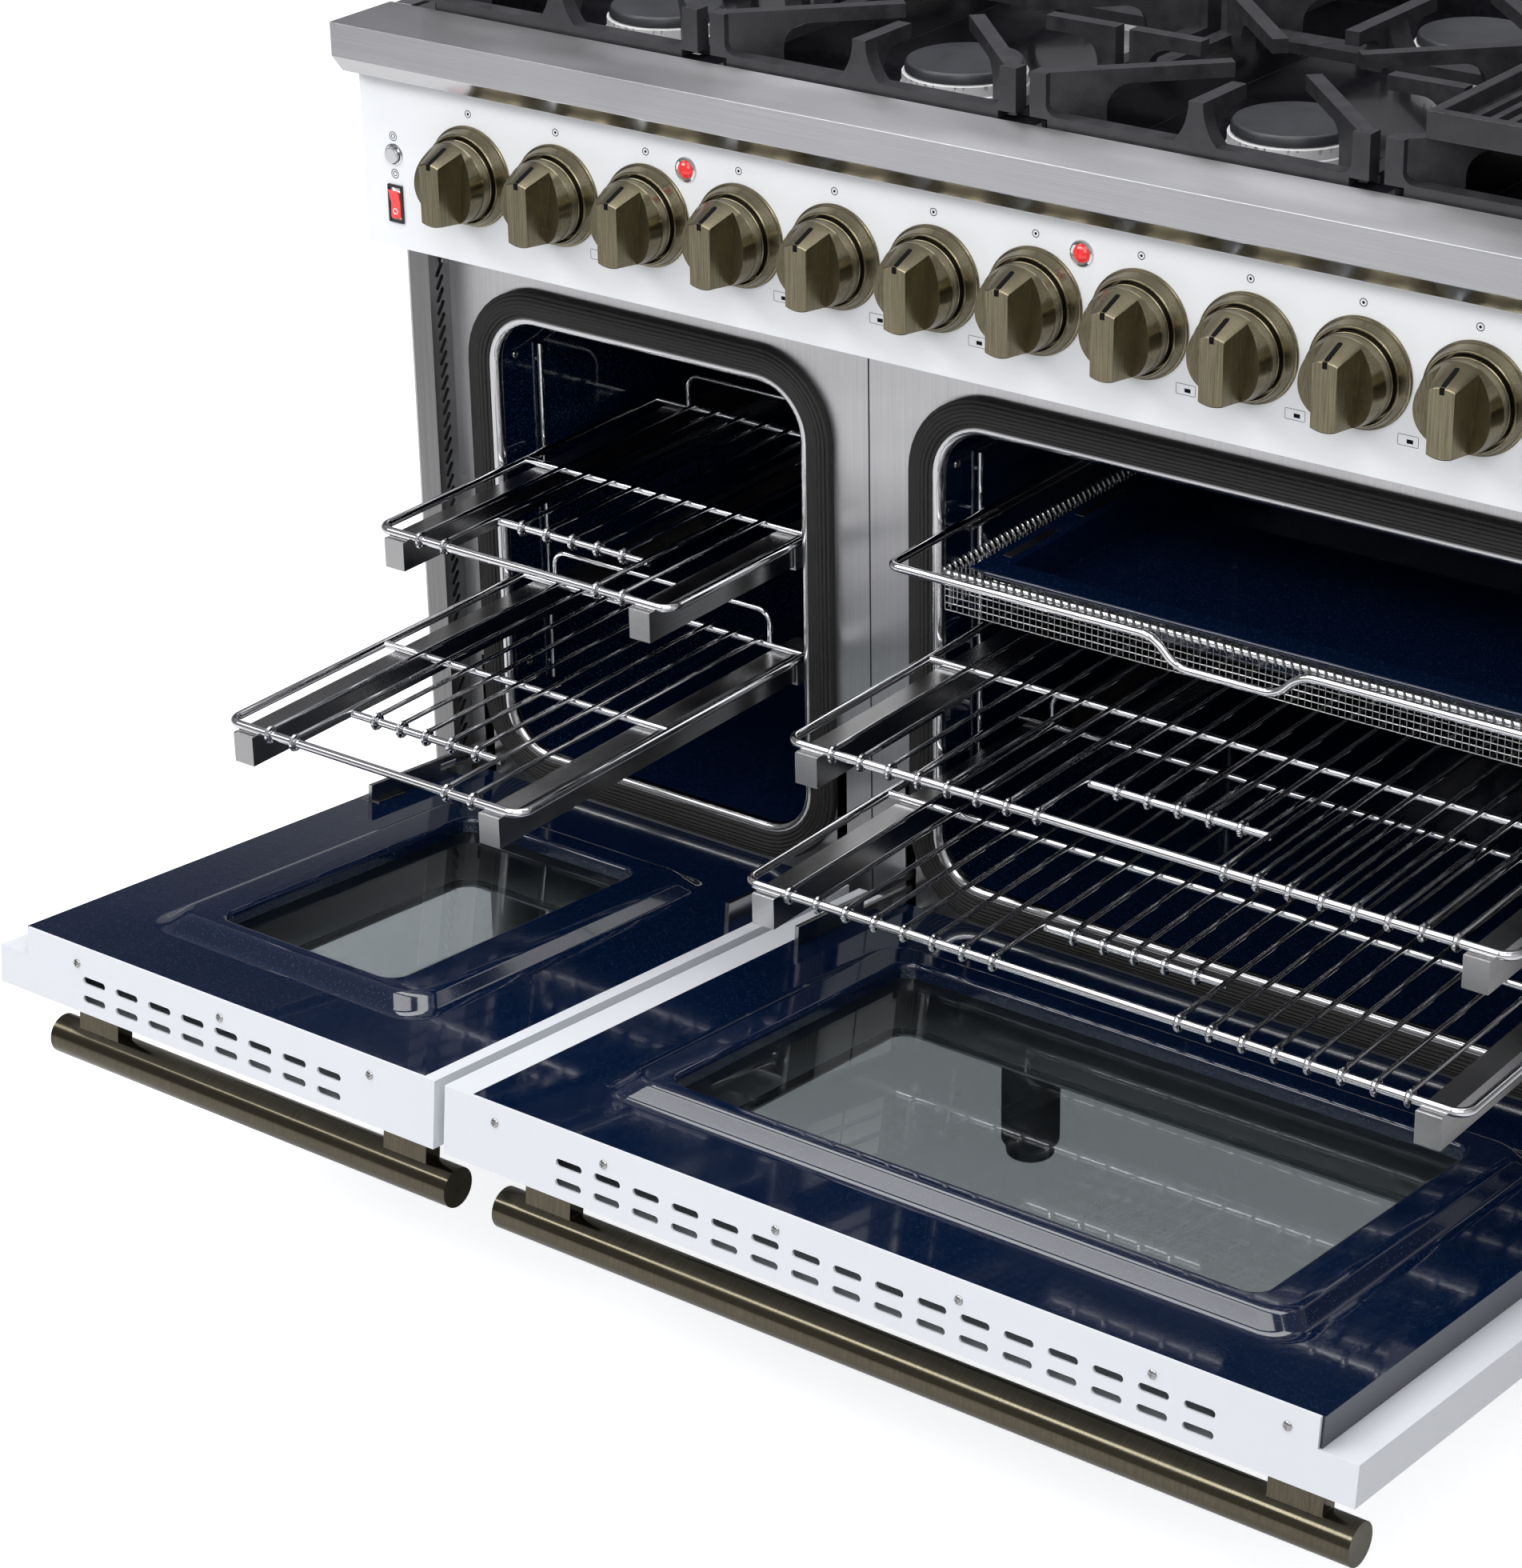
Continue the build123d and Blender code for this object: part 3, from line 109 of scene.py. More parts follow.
def settle(piece):
    """Put a piece's place, turn and scale into its mesh."""
    alone(piece)
    bpy.ops.object.transform_apply(location=True, rotation=True, scale=True)


def new_piece(name, adder, scale=(1, 1, 1), **settings):
    """Add a primitive at its size and place and settle it."""
    bpy.ops.object.select_all(action="DESELECT")
    adder(**settings)
    piece = bpy.context.object
    piece.name = name
    piece.scale = scale
    settle(piece)
    return piece


def block(name, low, high):
    """A box between two corners, the start of a piece."""
    low, high = Vector(low), Vector(high)
    return new_piece(
        name, bpy.ops.mesh.primitive_cube_add, size=1, location=(low + high) / 2, scale=high - low
    )


def rod(name, start, end, radius, sides=24):
    """A round bar between two points, the start of a piece."""
    start, end = Vector(start), Vector(end)
    axis = end - start
    return new_piece(
        name,
        bpy.ops.mesh.primitive_cylinder_add,
        vertices=sides,
        radius=radius,
        depth=axis.length,
        location=(start + end) / 2,
        rotation=axis.to_track_quat("Z", "Y").to_euler(),
    )


def edit(piece, kind, rule):
    """Open a piece in edit mode with only the vertices, edges or faces that follow a rule selected."""
    alone(piece)
    bpy.ops.object.mode_set(mode="EDIT")
    bpy.ops.mesh.select_mode(type=kind)
    bpy.ops.mesh.select_all(action="DESELECT")
    mesh = bmesh.from_edit_mesh(piece.data)
    parts = {"VERT": mesh.verts, "EDGE": mesh.edges, "FACE": mesh.faces}[kind]
    for part in parts:
        if rule(part):
            part.select_set(True)
    bmesh.update_edit_mesh(piece.data)


def done():
    """Leave edit mode."""
    bpy.ops.object.mode_set(mode="OBJECT")


def smooth(piece, angle=40):
    """Shade a piece smooth except over its sharp edges, with its flat faces kept flat."""
    alone(piece)
    bpy.ops.object.shade_smooth_by_angle(angle=radians(angle))
    shaped(piece, "WEIGHTED_NORMAL", keep_sharp=True)


def rounded(piece, width, segments=2, angle=35):
    """Round the sharp edges of a piece."""
    shaped(
        piece, "BEVEL", width=width, segments=segments, limit_method="ANGLE", angle_limit=radians(angle)
    )
    smooth(piece)


def joined(name, pieces):
    """Join pieces into the first one."""
    alone(pieces[0])
    for piece in pieces:
        piece.select_set(True)
    bpy.ops.object.join()
    pieces[0].name = name
    return pieces[0]


def copied(piece, name, change):
    """A copy of a piece with its own mesh, moved by a matrix."""
    copy = bpy.data.objects.new(name, piece.data.copy())
    copy.data.transform(change)
    bpy.context.scene.collection.objects.link(copy)
    return copy


def removed(piece):
    """Delete a piece that was only a tool or a pattern."""
    bpy.data.objects.remove(piece)


def at(x, y, z):
    """A point or a step given in millimetres."""
    return Vector((x, y, z)) * mm


def box(name):
    """The low and high corner of a solid."""
    corners = [solids[name].matrix_world @ Vector(corner) for corner in solids[name].bound_box]
    low = Vector([min(corner[axis] for corner in corners) for axis in range(3)])
    high = Vector([max(corner[axis] for corner in corners) for axis in range(3)])
    return low, high


print("hand tools ready")

# %% Turned pieces, rings and wires
def outward(piece):
    """Turn all faces of a piece outward."""
    edit(piece, "FACE", lambda face: True)
    bpy.ops.mesh.normals_make_consistent(inside=False)
    done()


def turned(name, profile, sides=64):
    """A circle drawn out along Z through pairs of radius and height in mm, closed at both ends."""
    radius, height = profile[0]
    piece = new_piece(
        name,
        bpy.ops.mesh.primitive_circle_add,
        vertices=sides,
        radius=radius * mm,
        location=(0, 0, height * mm),
        fill_type="NGON",
    )
    edit(piece, "EDGE", lambda side: True)
    for next_radius, next_height in profile[1:]:
        step = (0, 0, (next_height - height) * mm)
        scale = next_radius / radius
        bpy.ops.mesh.extrude_edges_move(TRANSFORM_OT_translate={"value": step})
        bpy.ops.transform.resize(value=(scale, scale, 1), center_override=(0, 0, next_height * mm))
        radius, height = next_radius, next_height
    bpy.ops.mesh.edge_face_add()
    done()
    outward(piece)
    return piece


def thickened(piece, radius, sides=3):
    """Turn the edges of a piece into round wire."""
    alone(piece)
    bpy.ops.object.convert(target="CURVE")
    wire = bpy.context.object
    wire.data.bevel_depth = radius
    wire.data.bevel_resolution = sides
    wire.data.use_fill_caps = True
    bpy.ops.object.convert(target="MESH")
    smooth(wire)
    return wire


def ring(name, centre, half_width, half_height, corner, radius, sides=3, turn=(radians(90), 0, 0)):
    """A closed round wire along a rounded rectangle, which faces front unless it is turned."""
    piece = new_piece(
        name,
        bpy.ops.mesh.primitive_plane_add,
        size=2,
        location=centre,
        rotation=turn,
        scale=(half_width, half_height, 1),
    )
    edit(piece, "VERT", lambda vertex: True)
    bpy.ops.mesh.bevel(offset=corner, segments=10, affect="VERTICES")
    bpy.ops.mesh.delete(type="ONLY_FACE")
    done()
    return thickened(piece, radius, sides)


def bent_wire(name, points, radius, bend, sides=3):
    """A round wire through points, with its corners bent."""
    piece = new_piece(name, bpy.ops.mesh.primitive_plane_add, size=mm, location=points[0])
    edit(piece, "VERT", lambda vertex: True)
    bpy.ops.mesh.merge(type="CENTER")
    for start, end in zip(points, points[1:]):
        bpy.ops.mesh.extrude_vertices_move(TRANSFORM_OT_translate={"value": Vector(end) - Vector(start)})
    done()
    inner = [Vector(point) for point in points[1:-1]]
    edit(piece, "VERT", lambda vertex: any((vertex.co - point).length < mm / 10 for point in inner))
    bpy.ops.mesh.bevel(offset=bend, segments=6, affect="VERTICES")
    done()
    return thickened(piece, radius, sides)


def loop(name, centre, major, minor, axis, sides=(32, 8)):
    """A round ring about an axis."""
    return new_piece(
        name,
        bpy.ops.mesh.primitive_torus_add,
        major_radius=major,
        minor_radius=minor,
        major_segments=sides[0],
        minor_segments=sides[1],
        location=centre,
        rotation=Vector(axis).to_track_quat("Z", "Y").to_euler(),
    )


def facing(point, direction):
    """A place whose Z axis points in a direction."""
    return Matrix.Translation(point) @ Vector(direction).to_track_quat("Z", "Y").to_matrix().to_4x4()


print("turned pieces, rings and wires ready")

# %% [markdown]
# ## Shared effects
# Brushed metal, cast skin and wiped smears each show on more than one finish, and the blue enamel has flakes.
# Each effect is one node group that puts out plain values between 0 and 1, and every material mixes them with
# its own strengths. They read Object coordinates, which here are the coordinates of the range itself, so a
# pattern stays on its piece when the piece moves.

# %% Node group helpers
def add_node(tree, kind, values=None, **settings):
    """Add a shader node, set its properties and the values of its sockets."""
    made = tree.nodes.new("ShaderNode" + kind)
    for key, value in settings.items():
        setattr(made, key, value)
    for socket, value in (values or {}).items():
        made.inputs[socket].default_value = value
    return made


def effect(name, inputs, outputs):
    """A new node group with named input values and named outputs."""
    group = bpy.data.node_groups.new(name, "ShaderNodeTree")
    for label, kind, value in inputs:
        group.interface.new_socket(label, in_out="INPUT", socket_type=kind).default_value = value
    for label in outputs:
        group.interface.new_socket(label, in_out="OUTPUT", socket_type="NodeSocketFloat")
    return group, group.nodes.new("NodeGroupInput"), group.nodes.new("NodeGroupOutput")


def placed_noise(group, source, socket, detail):
    """A noise in object space whose scale along each axis comes from one input of the group."""
    coordinates = add_node(group, "TexCoord")
    stretch = add_node(group, "VectorMath", operation="MULTIPLY")
    noise = add_node(group, "TexNoise", {"Scale": 1.0, "Detail": detail, "Roughness": 0.6})
    group.links.new(coordinates.outputs["Object"], stretch.inputs[0])
    group.links.new(source.outputs[socket], stretch.inputs[1])
    group.links.new(stretch.outputs[0], noise.inputs["Vector"])
    return noise.outputs[0]


def noise_effect(name, rows):
    """A node group of noises; each row names an input and an output, with a stretch and a detail."""
    inputs = [(label, "NodeSocketVector", stretch) for label, result, stretch, detail in rows]
    group, source, target = effect(name, inputs, [row[1] for row in rows])
    for label, result, stretch, detail in rows:
        group.links.new(placed_noise(group, source, label, detail), target.inputs[result])
    return group


# %% Brushed grain, cast skin and smears
grain_rows = [("Stretch", "Grain", (8, 700, 700), 3.0), ("Cloud Stretch", "Cloud", (4, 9, 9), 2.0)]
skin_rows = [("Grit", "Grit", (900, 900, 900), 4.0), ("Patch", "Patch", (60, 60, 60), 3.0)]
smear_rows = [("Size", "Smear", (5, 5, 12), 3.0), ("Ripple", "Ripple", (160, 160, 160), 1.0)]
grain_group = noise_effect("brushed_grain", grain_rows)
skin_group = noise_effect("cast_skin", skin_rows)
smear_group = noise_effect("wiped_smears", smear_rows)
print("groups", [group.name for group in bpy.data.node_groups])

# %% Enamel flake
flake_group, flake_in, flake_out = effect("enamel_flake", [("Density", "NodeSocketFloat", 900.0)], ["Flake"])
flake_space = add_node(flake_group, "TexCoord")
flake_cells = add_node(flake_group, "TexVoronoi", feature="F1")
flake_pick = add_node(flake_group, "SeparateColor")
flake_few = add_node(flake_group, "Math", {1: 0.82}, operation="GREATER_THAN")
dot_range = {"From Min": 0.1, "From Max": 0.45, "To Min": 1.0, "To Max": 0.0}
flake_dot = add_node(flake_group, "MapRange", dot_range)
flake_mask = add_node(flake_group, "Math", operation="MULTIPLY")
flake_links = [
    (flake_space.outputs["Object"], flake_cells.inputs["Vector"]),
    (flake_in.outputs["Density"], flake_cells.inputs["Scale"]),
    (flake_cells.outputs["Color"], flake_pick.inputs[0]),
    (flake_pick.outputs[0], flake_few.inputs[0]),
    (flake_cells.outputs["Distance"], flake_dot.inputs["Value"]),
    (flake_few.outputs[0], flake_mask.inputs[0]),
    (flake_dot.outputs[0], flake_mask.inputs[1]),
    (flake_mask.outputs[0], flake_out.inputs["Flake"]),
]
for source, target in flake_links:
    flake_group.links.new(source, target)
print("flake group sockets", [socket.name for socket in flake_group.interface.items_tree])

# %% [markdown]
# ## Finishes
# A finish starts as a Principled shader with its constant values set on its own sockets. The groups then vary
# what changes over the surface: a colour ramp for Base Color, a range for Roughness and a Bump for Normal.

# %% Helpers for a finish
finishes = {}


def finish(name, colour, metal=0.0, rough=0.5, **sockets):
    """A new Principled material; sockets are named with underscores."""
    material = bpy.data.materials.new(name)
    material.use_nodes = True
    shader = material.node_tree.nodes["Principled BSDF"]
    shader.inputs["Base Color"].default_value = (*colour, 1)
    shader.inputs["Metallic"].default_value = metal
    shader.inputs["Roughness"].default_value = rough
    for key, value in sockets.items():
        shader.inputs[key.replace("_", " ")].default_value = value
    material.diffuse_color = (*colour, 1)
    finishes[name] = material
    return material.node_tree, shader


def use_effect(tree, group, values=None):
    """Place a shared effect in a material."""
    made = tree.nodes.new("ShaderNodeGroup")
    made.node_tree = group
    for socket, value in (values or {}).items():
        made.inputs[socket].default_value = value
    return made


def tint(tree, shader, mask, dark, light, start=0.3, end=0.7):
    """Let a mask run the base colour from dark to light."""
    ramp = add_node(tree, "ValToRGB")
    ramp.color_ramp.elements[0].position = start
    ramp.color_ramp.elements[0].color = (*dark, 1)
    ramp.color_ramp.elements[1].position = end
    ramp.color_ramp.elements[1].color = (*light, 1)
    tree.links.new(mask, ramp.inputs["Fac"])
    tree.links.new(ramp.outputs["Color"], shader.inputs["Base Color"])


def roughen(tree, shader, mask, low, high):
    """Let a mask run the roughness from low to high."""
    span = add_node(tree, "MapRange", {"From Min": 0.3, "From Max": 0.7, "To Min": low, "To Max": high})
    tree.links.new(mask, span.inputs["Value"])
    tree.links.new(span.outputs[0], shader.inputs["Roughness"])


def emboss(tree, shader, height, strength, depth):
    """Raise the surface by a height, without changing its mesh."""
    bump = add_node(tree, "Bump", {"Strength": strength, "Distance": depth})
    tree.links.new(height, bump.inputs["Height"])
    tree.links.new(bump.outputs["Normal"], shader.inputs["Normal"])


# %% Steel and brass
grain_across = (8, 1600, 1600)
grain_upright = (1600, 1600, 8)
grain_all = (900, 900, 900)
grain_pull = 0.85
rough_spread = 0.08
grain_strength = 0.06


def brushed(name, dark, light, stretch, rough, pull=None):
    """A brushed metal: streaks in its colour, roughness and height; highlights run long along its pull."""
    tree, shader = finish(name, light, metal=1.0, rough=rough)
    grain = use_effect(tree, grain_group, {"Stretch": stretch})
    tint(tree, shader, grain.outputs["Grain"], dark, light)
    roughen(tree, shader, grain.outputs["Cloud"], rough - rough_spread / 2, rough + rough_spread)
    emboss(tree, shader, grain.outputs["Grain"], grain_strength, 0.2 * mm)
    if pull:
        across = add_node(tree, "CombineXYZ", dict(zip("XYZ", pull)))
        tree.links.new(across.outputs[0], shader.inputs["Tangent"])
        shader.inputs["Anisotropic"].default_value = grain_pull


brushed("steel_across", (0.46, 0.46, 0.48), (0.54, 0.54, 0.56), grain_across, 0.32, pull=(0.03, 0.62, 0.78))
brushed("steel_upright", (0.48, 0.48, 0.49), (0.56, 0.56, 0.57), grain_upright, 0.30, pull=(1, 0.03, 0.02))
# The front columns get a darker copy of the stainless: painted shade.
brushed("steel_painted_shade", (0.20, 0.20, 0.20), (0.27, 0.27, 0.27), grain_upright, 0.34)
brushed("steel_plain", (0.36, 0.36, 0.36), (0.46, 0.46, 0.46), grain_all, 0.24)
brushed("steel_polished", (0.56, 0.56, 0.57), (0.62, 0.62, 0.63), grain_across, 0.12)
brushed("steel_rail", (0.34, 0.34, 0.34), (0.42, 0.42, 0.42), (1600, 8, 1600), 0.2)
# The handles get a darker copy of the brass: painted shade that stands in for the dark reflections below them.
brushed("brass_across_painted_shade", (0.075, 0.066, 0.046), (0.125, 0.112, 0.08), (1600, 60, 60), 0.15)
brushed("brass_knob", (0.14, 0.122, 0.079), (0.29, 0.26, 0.174), (1500, 1500, 30), 0.24, pull=(0.06, 1, 0.08))
brushed("brass_valve", (0.45, 0.33, 0.14), (0.6, 0.45, 0.2), grain_all, 0.3)
brushed("mesh_wire", (0.30, 0.30, 0.30), (0.42, 0.42, 0.42), grain_all, 0.24)
tree, shader = finish("aluminium", (0.8, 0.8, 0.81), metal=0.35, rough=0.42)
skin = use_effect(tree, skin_group)
tint(tree, shader, skin.outputs["Grit"], (0.70, 0.70, 0.71), (0.86, 0.86, 0.87))
tree, shader = finish("chrome", (0.74, 0.74, 0.76), metal=1.0, rough=0.07)
smear = use_effect(tree, smear_group)
roughen(tree, shader, smear.outputs["Smear"], 0.05, 0.1)
tree, shader = finish("galvanised", (0.5, 0.51, 0.52), metal=1.0, rough=0.42)
spangle = use_effect(tree, skin_group, {"Grit": (70, 70, 70), "Patch": (18, 18, 18)})
tint(tree, shader, spangle.outputs["Grit"], (0.38, 0.39, 0.40), (0.58, 0.59, 0.60), 0.42, 0.58)
roughen(tree, shader, spangle.outputs["Patch"], 0.36, 0.5)
print("metals", len(finishes))

# %% Enamels and iron
# The doors get a darker copy of the white enamel: painted shade, since they are the same paint as the panel.
whites = {"white_enamel": (0.80, 0.815, 0.845), "door_enamel": (0.64, 0.66, 0.70)}
for name, white in whites.items():
    tree, shader = finish(name, white, rough=0.22, Coat_Weight=0.3, Coat_Roughness=0.08)
    smear = use_effect(tree, smear_group)
    dark, light = ([share * part for part in white] for share in (0.985, 1.015))
    tint(tree, shader, smear.outputs["Smear"], dark, light)
    roughen(tree, shader, smear.outputs["Smear"], 0.22, 0.26)
    emboss(tree, shader, smear.outputs["Ripple"], 0.03, 0.3 * mm)

navy = (0.0016, 0.0065, 0.024)
tree, shader = finish("blue_enamel", navy, rough=0.07, Coat_Weight=0.4, Coat_Roughness=0.03)
flake = use_effect(tree, flake_group, {"Density": 850.0})
smear = use_effect(tree, smear_group)
tint(tree, shader, flake.outputs["Flake"], (0.0014, 0.0058, 0.022), (0.03, 0.055, 0.13), 0.0, 1.0)
roughen(tree, shader, smear.outputs["Smear"], 0.05, 0.12)
emboss(tree, shader, smear.outputs["Ripple"], 0.04, 0.4 * mm)

tree, shader = finish("black_enamel", (0.006, 0.006, 0.008), rough=0.1, Coat_Weight=0.3, Coat_Roughness=0.04)
smear = use_effect(tree, smear_group)
tint(tree, shader, smear.outputs["Ripple"], (0.005, 0.005, 0.007), (0.010, 0.010, 0.013))
roughen(tree, shader, smear.outputs["Smear"], 0.07, 0.16)
emboss(tree, shader, smear.outputs["Ripple"], 0.05, 0.4 * mm)

tree, shader = finish("cast_iron", (0.012, 0.012, 0.014), rough=0.42)
skin = use_effect(tree, skin_group)
tint(tree, shader, skin.outputs["Patch"], (0.015, 0.015, 0.018), (0.027, 0.027, 0.031))
roughen(tree, shader, skin.outputs["Patch"], 0.3, 0.44)
emboss(tree, shader, skin.outputs["Grit"], 0.35, 0.6 * mm)

tree, shader = finish("cap_enamel", (0.028, 0.029, 0.034), rough=0.42)
skin = use_effect(tree, skin_group)
tint(tree, shader, skin.outputs["Patch"], (0.024, 0.025, 0.030), (0.032, 0.033, 0.039))
emboss(tree, shader, skin.outputs["Grit"], 0.12, 0.3 * mm)
print("enamels and iron", len(finishes))

# %% Rubber, plastic, glass and print
tree, shader = finish("braided_gasket", (0.016, 0.016, 0.016), rough=0.7)
skin = use_effect(tree, skin_group, {"Grit": (420, 420, 420), "Patch": (900, 900, 900)})
tint(tree, shader, skin.outputs["Grit"], (0.004, 0.004, 0.004), (0.020, 0.019, 0.018))
roughen(tree, shader, skin.outputs["Grit"], 0.55, 0.8)
emboss(tree, shader, skin.outputs["Grit"], 0.5, 0.8 * mm)

# The red lenses and the rocker glow a little. The glow is painted light, because they are not lit.
tree, shader = finish(
    "red_lens_painted_glow",
    (0.62, 0.012, 0.014),
    rough=0.12,
    Coat_Weight=0.6,
    Coat_Roughness=0.03,
    Emission_Color=(0.9, 0.05, 0.05, 1),
    Emission_Strength=0.35,
)
skin = use_effect(tree, skin_group, {"Patch": (700, 700, 700)})
tint(tree, shader, skin.outputs["Patch"], (0.42, 0.006, 0.008), (0.75, 0.03, 0.03))
tree, shader = finish("black_plastic", (0.012, 0.012, 0.014), rough=0.42)
skin = use_effect(tree, skin_group)
roughen(tree, shader, skin.outputs["Grit"], 0.36, 0.5)
tree, shader = finish("print_black", (0.006, 0.006, 0.007), rough=0.8, Specular_IOR_Level=0.04)
skin = use_effect(tree, skin_group)
tint(tree, shader, skin.outputs["Grit"], (0.004, 0.004, 0.005), (0.010, 0.010, 0.011))
tree, shader = finish("window_glass", (0.50, 0.53, 0.54), rough=0.0, Transmission_Weight=1.0, IOR=1.45)
smear = use_effect(tree, smear_group)
roughen(tree, shader, smear.outputs["Smear"], 0.0, 0.02)
print("finishes", sorted(finishes))

# %% [markdown]
# ## Folded sheet and wire
# Ledge, panels, columns, doors, racks and their like already have the right form as solids. A solid is drawn
# with perfectly sharp edges, though, and a folded sheet always has a small round that catches the light. So
# each one is copied, its triangles are merged into clean faces, and its edges get a bevel of its own width.

# %% Copies with softened edges
merge_gap = 0.002 * mm


def dress(piece, material, body):
    """Give a piece its finish and the body it moves with."""
    piece.data.materials.clear()
    piece.data.materials.append(finishes[material])
    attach(piece, body)


def solid_copy(name):
    """A copy of a solid as a mesh of merged, flat faces."""
    copy = bpy.data.objects.new(name + "_finish", solids[name].data.copy())
    bpy.context.scene.collection.objects.link(copy)
    alone(copy)
    bpy.ops.mesh.customdata_custom_splitnormals_clear()
    edit(copy, "VERT", lambda vertex: True)
    bpy.ops.mesh.remove_doubles(threshold=merge_gap)
    bpy.ops.mesh.dissolve_limited(angle_limit=radians(1))
    done()
    return copy


def softened(name, material, width, segments=2):
    """A solid's copy with rounded edges, which stands for the solid."""
    copy = solid_copy(name)
    rounded(copy, width, segments)
    dress(copy, material, carrier[name])
    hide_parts(name)
    return copy


sheet_finishes = {
    "front_ledge": ("steel_across", "stainless", 1.3),
    "control_panel": ("white_enamel", "white_enamel", 0.6),
    "side_panels": ("steel_upright", "stainless", 0.6),
    "back_panel": ("galvanised", "galvanised", 0.5),
    "base_tray": ("galvanised", "galvanised", 0.5),
    "kick_plate": ("white_enamel", "white_enamel", 0.6),
    "legs": ("steel_upright", "leg_steel", 1.5),
    # The columns take the darkened stainless, which is painted shade.
    "front_columns": ("steel_painted_shade", "stainless", 0.4),
    "face_frame": ("steel_upright", "stainless", 0.4),
    "left_oven_cavity": ("blue_enamel", "blue_enamel", 0.4),
    "right_oven_cavity": ("blue_enamel", "blue_enamel", 0.4),
    "oven_burners": ("steel_plain", "plain_steel", 1.0),
    "hinge_ears": ("steel_plain", "plain_steel", 0.4),
    # The door shells take the darkened white, which is painted shade.
    "left_door_shell": ("door_enamel", "white_enamel", 0.7),
    "right_door_shell": ("door_enamel", "white_enamel", 0.7),
    # The handles take the darkened brass, which is painted shade.
    "left_door_handle": ("brass_across_painted_shade", "antique_brass", 0.8),
    "right_door_handle": ("brass_across_painted_shade", "antique_brass", 0.8),
    "left_door_hinge_arms": ("steel_plain", "plain_steel", 0.4),
    "right_door_hinge_arms": ("steel_plain", "plain_steel", 0.4),
    "rack_runners": ("steel_plain", "plain_steel", 0.3),
    "air_fry_tray": ("blue_enamel", "blue_enamel", 1.0),
    "drip_pan": ("black_enamel", "black_enamel", 0.6),
    "burner_caps": ("cap_enamel", "cast_iron", 2.0),
    "grill_plate": ("cast_iron", "cast_iron", 1.2),
    "rear_trim": ("steel_across", "stainless", 0.5),
    "switch_frame": ("black_plastic", "black_plastic", 0.5),
    # The rocker takes the red with its painted glow.
    "rocker_switch": ("red_lens_painted_glow", "red_plastic", 0.6),
    "light_button": ("chrome", "chrome_wire", 0.8),
}
for name, (material, slot, width) in sheet_finishes.items():
    piece = softened(name, material, width * mm)
    print(name, len(piece.data.polygons), "faces")

# %% Polished chamfer under the ledge
ledge = bpy.data.objects["front_ledge_finish"]
edit(ledge, "FACE", lambda face: face.normal.y < -0.3 and face.normal.z < -0.3)
bpy.ops.mesh.separate(type="SELECTED")
done()
chamfer = [piece for piece in bpy.context.selected_objects if piece != ledge][0]
chamfer.name = "front_ledge_chamfer"
dress(chamfer, "steel_polished", carrier["front_ledge"])
print("chamfer", len(chamfer.data.polygons), "faces")

# %% Solids that keep their own mesh
kept_finishes = {
    "gas_valves": "brass_valve",
    "gas_manifold": "steel_plain",
    "left_door_glass": "window_glass",
    "right_door_glass": "window_glass",
    "rack_ladders": "chrome",
}
for name, material in kept_finishes.items():
    solids[name].data.materials.clear()
    solids[name].data.materials.append(finishes[material])
print("kept", len(kept_finishes))

# %% [markdown]
# ## Knobs
# A knob is turned from a short skirt and a cone. The front of the cone sits lower than its base, so its top
# slopes and its underside runs straight. Two pockets cut the cone down to a grip bar, and a black line marks
# the top. The pattern points along Z and is then turned to the front for each of the twelve places.

# %% Knob body
knob_profile = [
    (31, 2.6), (33, 3.6), (33, 14), (32.4, 14.4), (32.4, 15.2), (33, 15.6), (33, 22.6), (32.2, 23.8),
]
cone_front = [(25.9, 48.8), (25, 50)]
cone_drop = 3.3
grip_half = 9.7
pocket_floor = 28.0
knob = turned("knob_pattern", knob_profile + cone_front)
edit(knob, "VERT", lambda vertex: vertex.co.z > 40 * mm)
bpy.ops.transform.translate(value=at(0, -cone_drop, 0))
done()
print("knob", len(knob.data.polygons), "faces")

# %% Knob pockets
pocket = block("pocket", at(grip_half, -45, pocket_floor), at(50, 45, 60))
edit(pocket, "VERT", lambda vertex: vertex.co.x > 40 * mm and vertex.co.z < 30 * mm)
bpy.ops.transform.translate(value=at(0, 0, 19))
done()
edit(pocket, "VERT", lambda vertex: vertex.co.y > 10 * mm and vertex.co.x < 20 * mm and vertex.co.z < 30 * mm)
bpy.ops.transform.translate(value=at(5.5, 0, -2.5))
done()
for hand in (1, -1):
    cutter = copied(pocket, "pocket_cutter", Matrix.Diagonal((hand, 1, 1, 1)))
    outward(cutter)
    shaped(knob, "BOOLEAN", object=cutter, operation="DIFFERENCE", solver="EXACT")
    removed(cutter)
removed(pocket)
rounded(knob, 0.5 * mm, angle=28)
print("knob with pockets", len(knob.data.polygons), "faces")

# %% Pointer line
pointer_half = 1.8
pointer_proud = 0.3
pointer_start = 29.0
pointer_length = 21.0
skirt_radius, skirt_height = knob_profile[-1]
front_radius, front_height = cone_front[0]
fall = (skirt_radius - front_radius + cone_drop) / (front_height - skirt_height)
pointer_base = skirt_radius - fall * (pointer_start - skirt_height)
line = block("pointer_line", at(-pointer_half, -2, 0), at(pointer_half, pointer_proud, pointer_length))
edit(line, "EDGE", lambda side: abs(side.verts[0].co.y - side.verts[1].co.y) > mm)
bpy.ops.mesh.bevel(offset=1.3 * mm, segments=4, affect="EDGES")
done()
slope = Matrix.Translation(at(0, pointer_base, pointer_start)) @ Matrix.Rotation(atan(fall), 4, "X")
line.data.transform(slope)
nick = block("pointer_nick", at(-pointer_half, 17.6, 48.5), at(pointer_half, 22.4, 50 + pointer_proud))
pointer = joined("pointer_pattern", [line, nick])
smooth(pointer)
print("pointer", len(pointer.data.polygons), "faces")

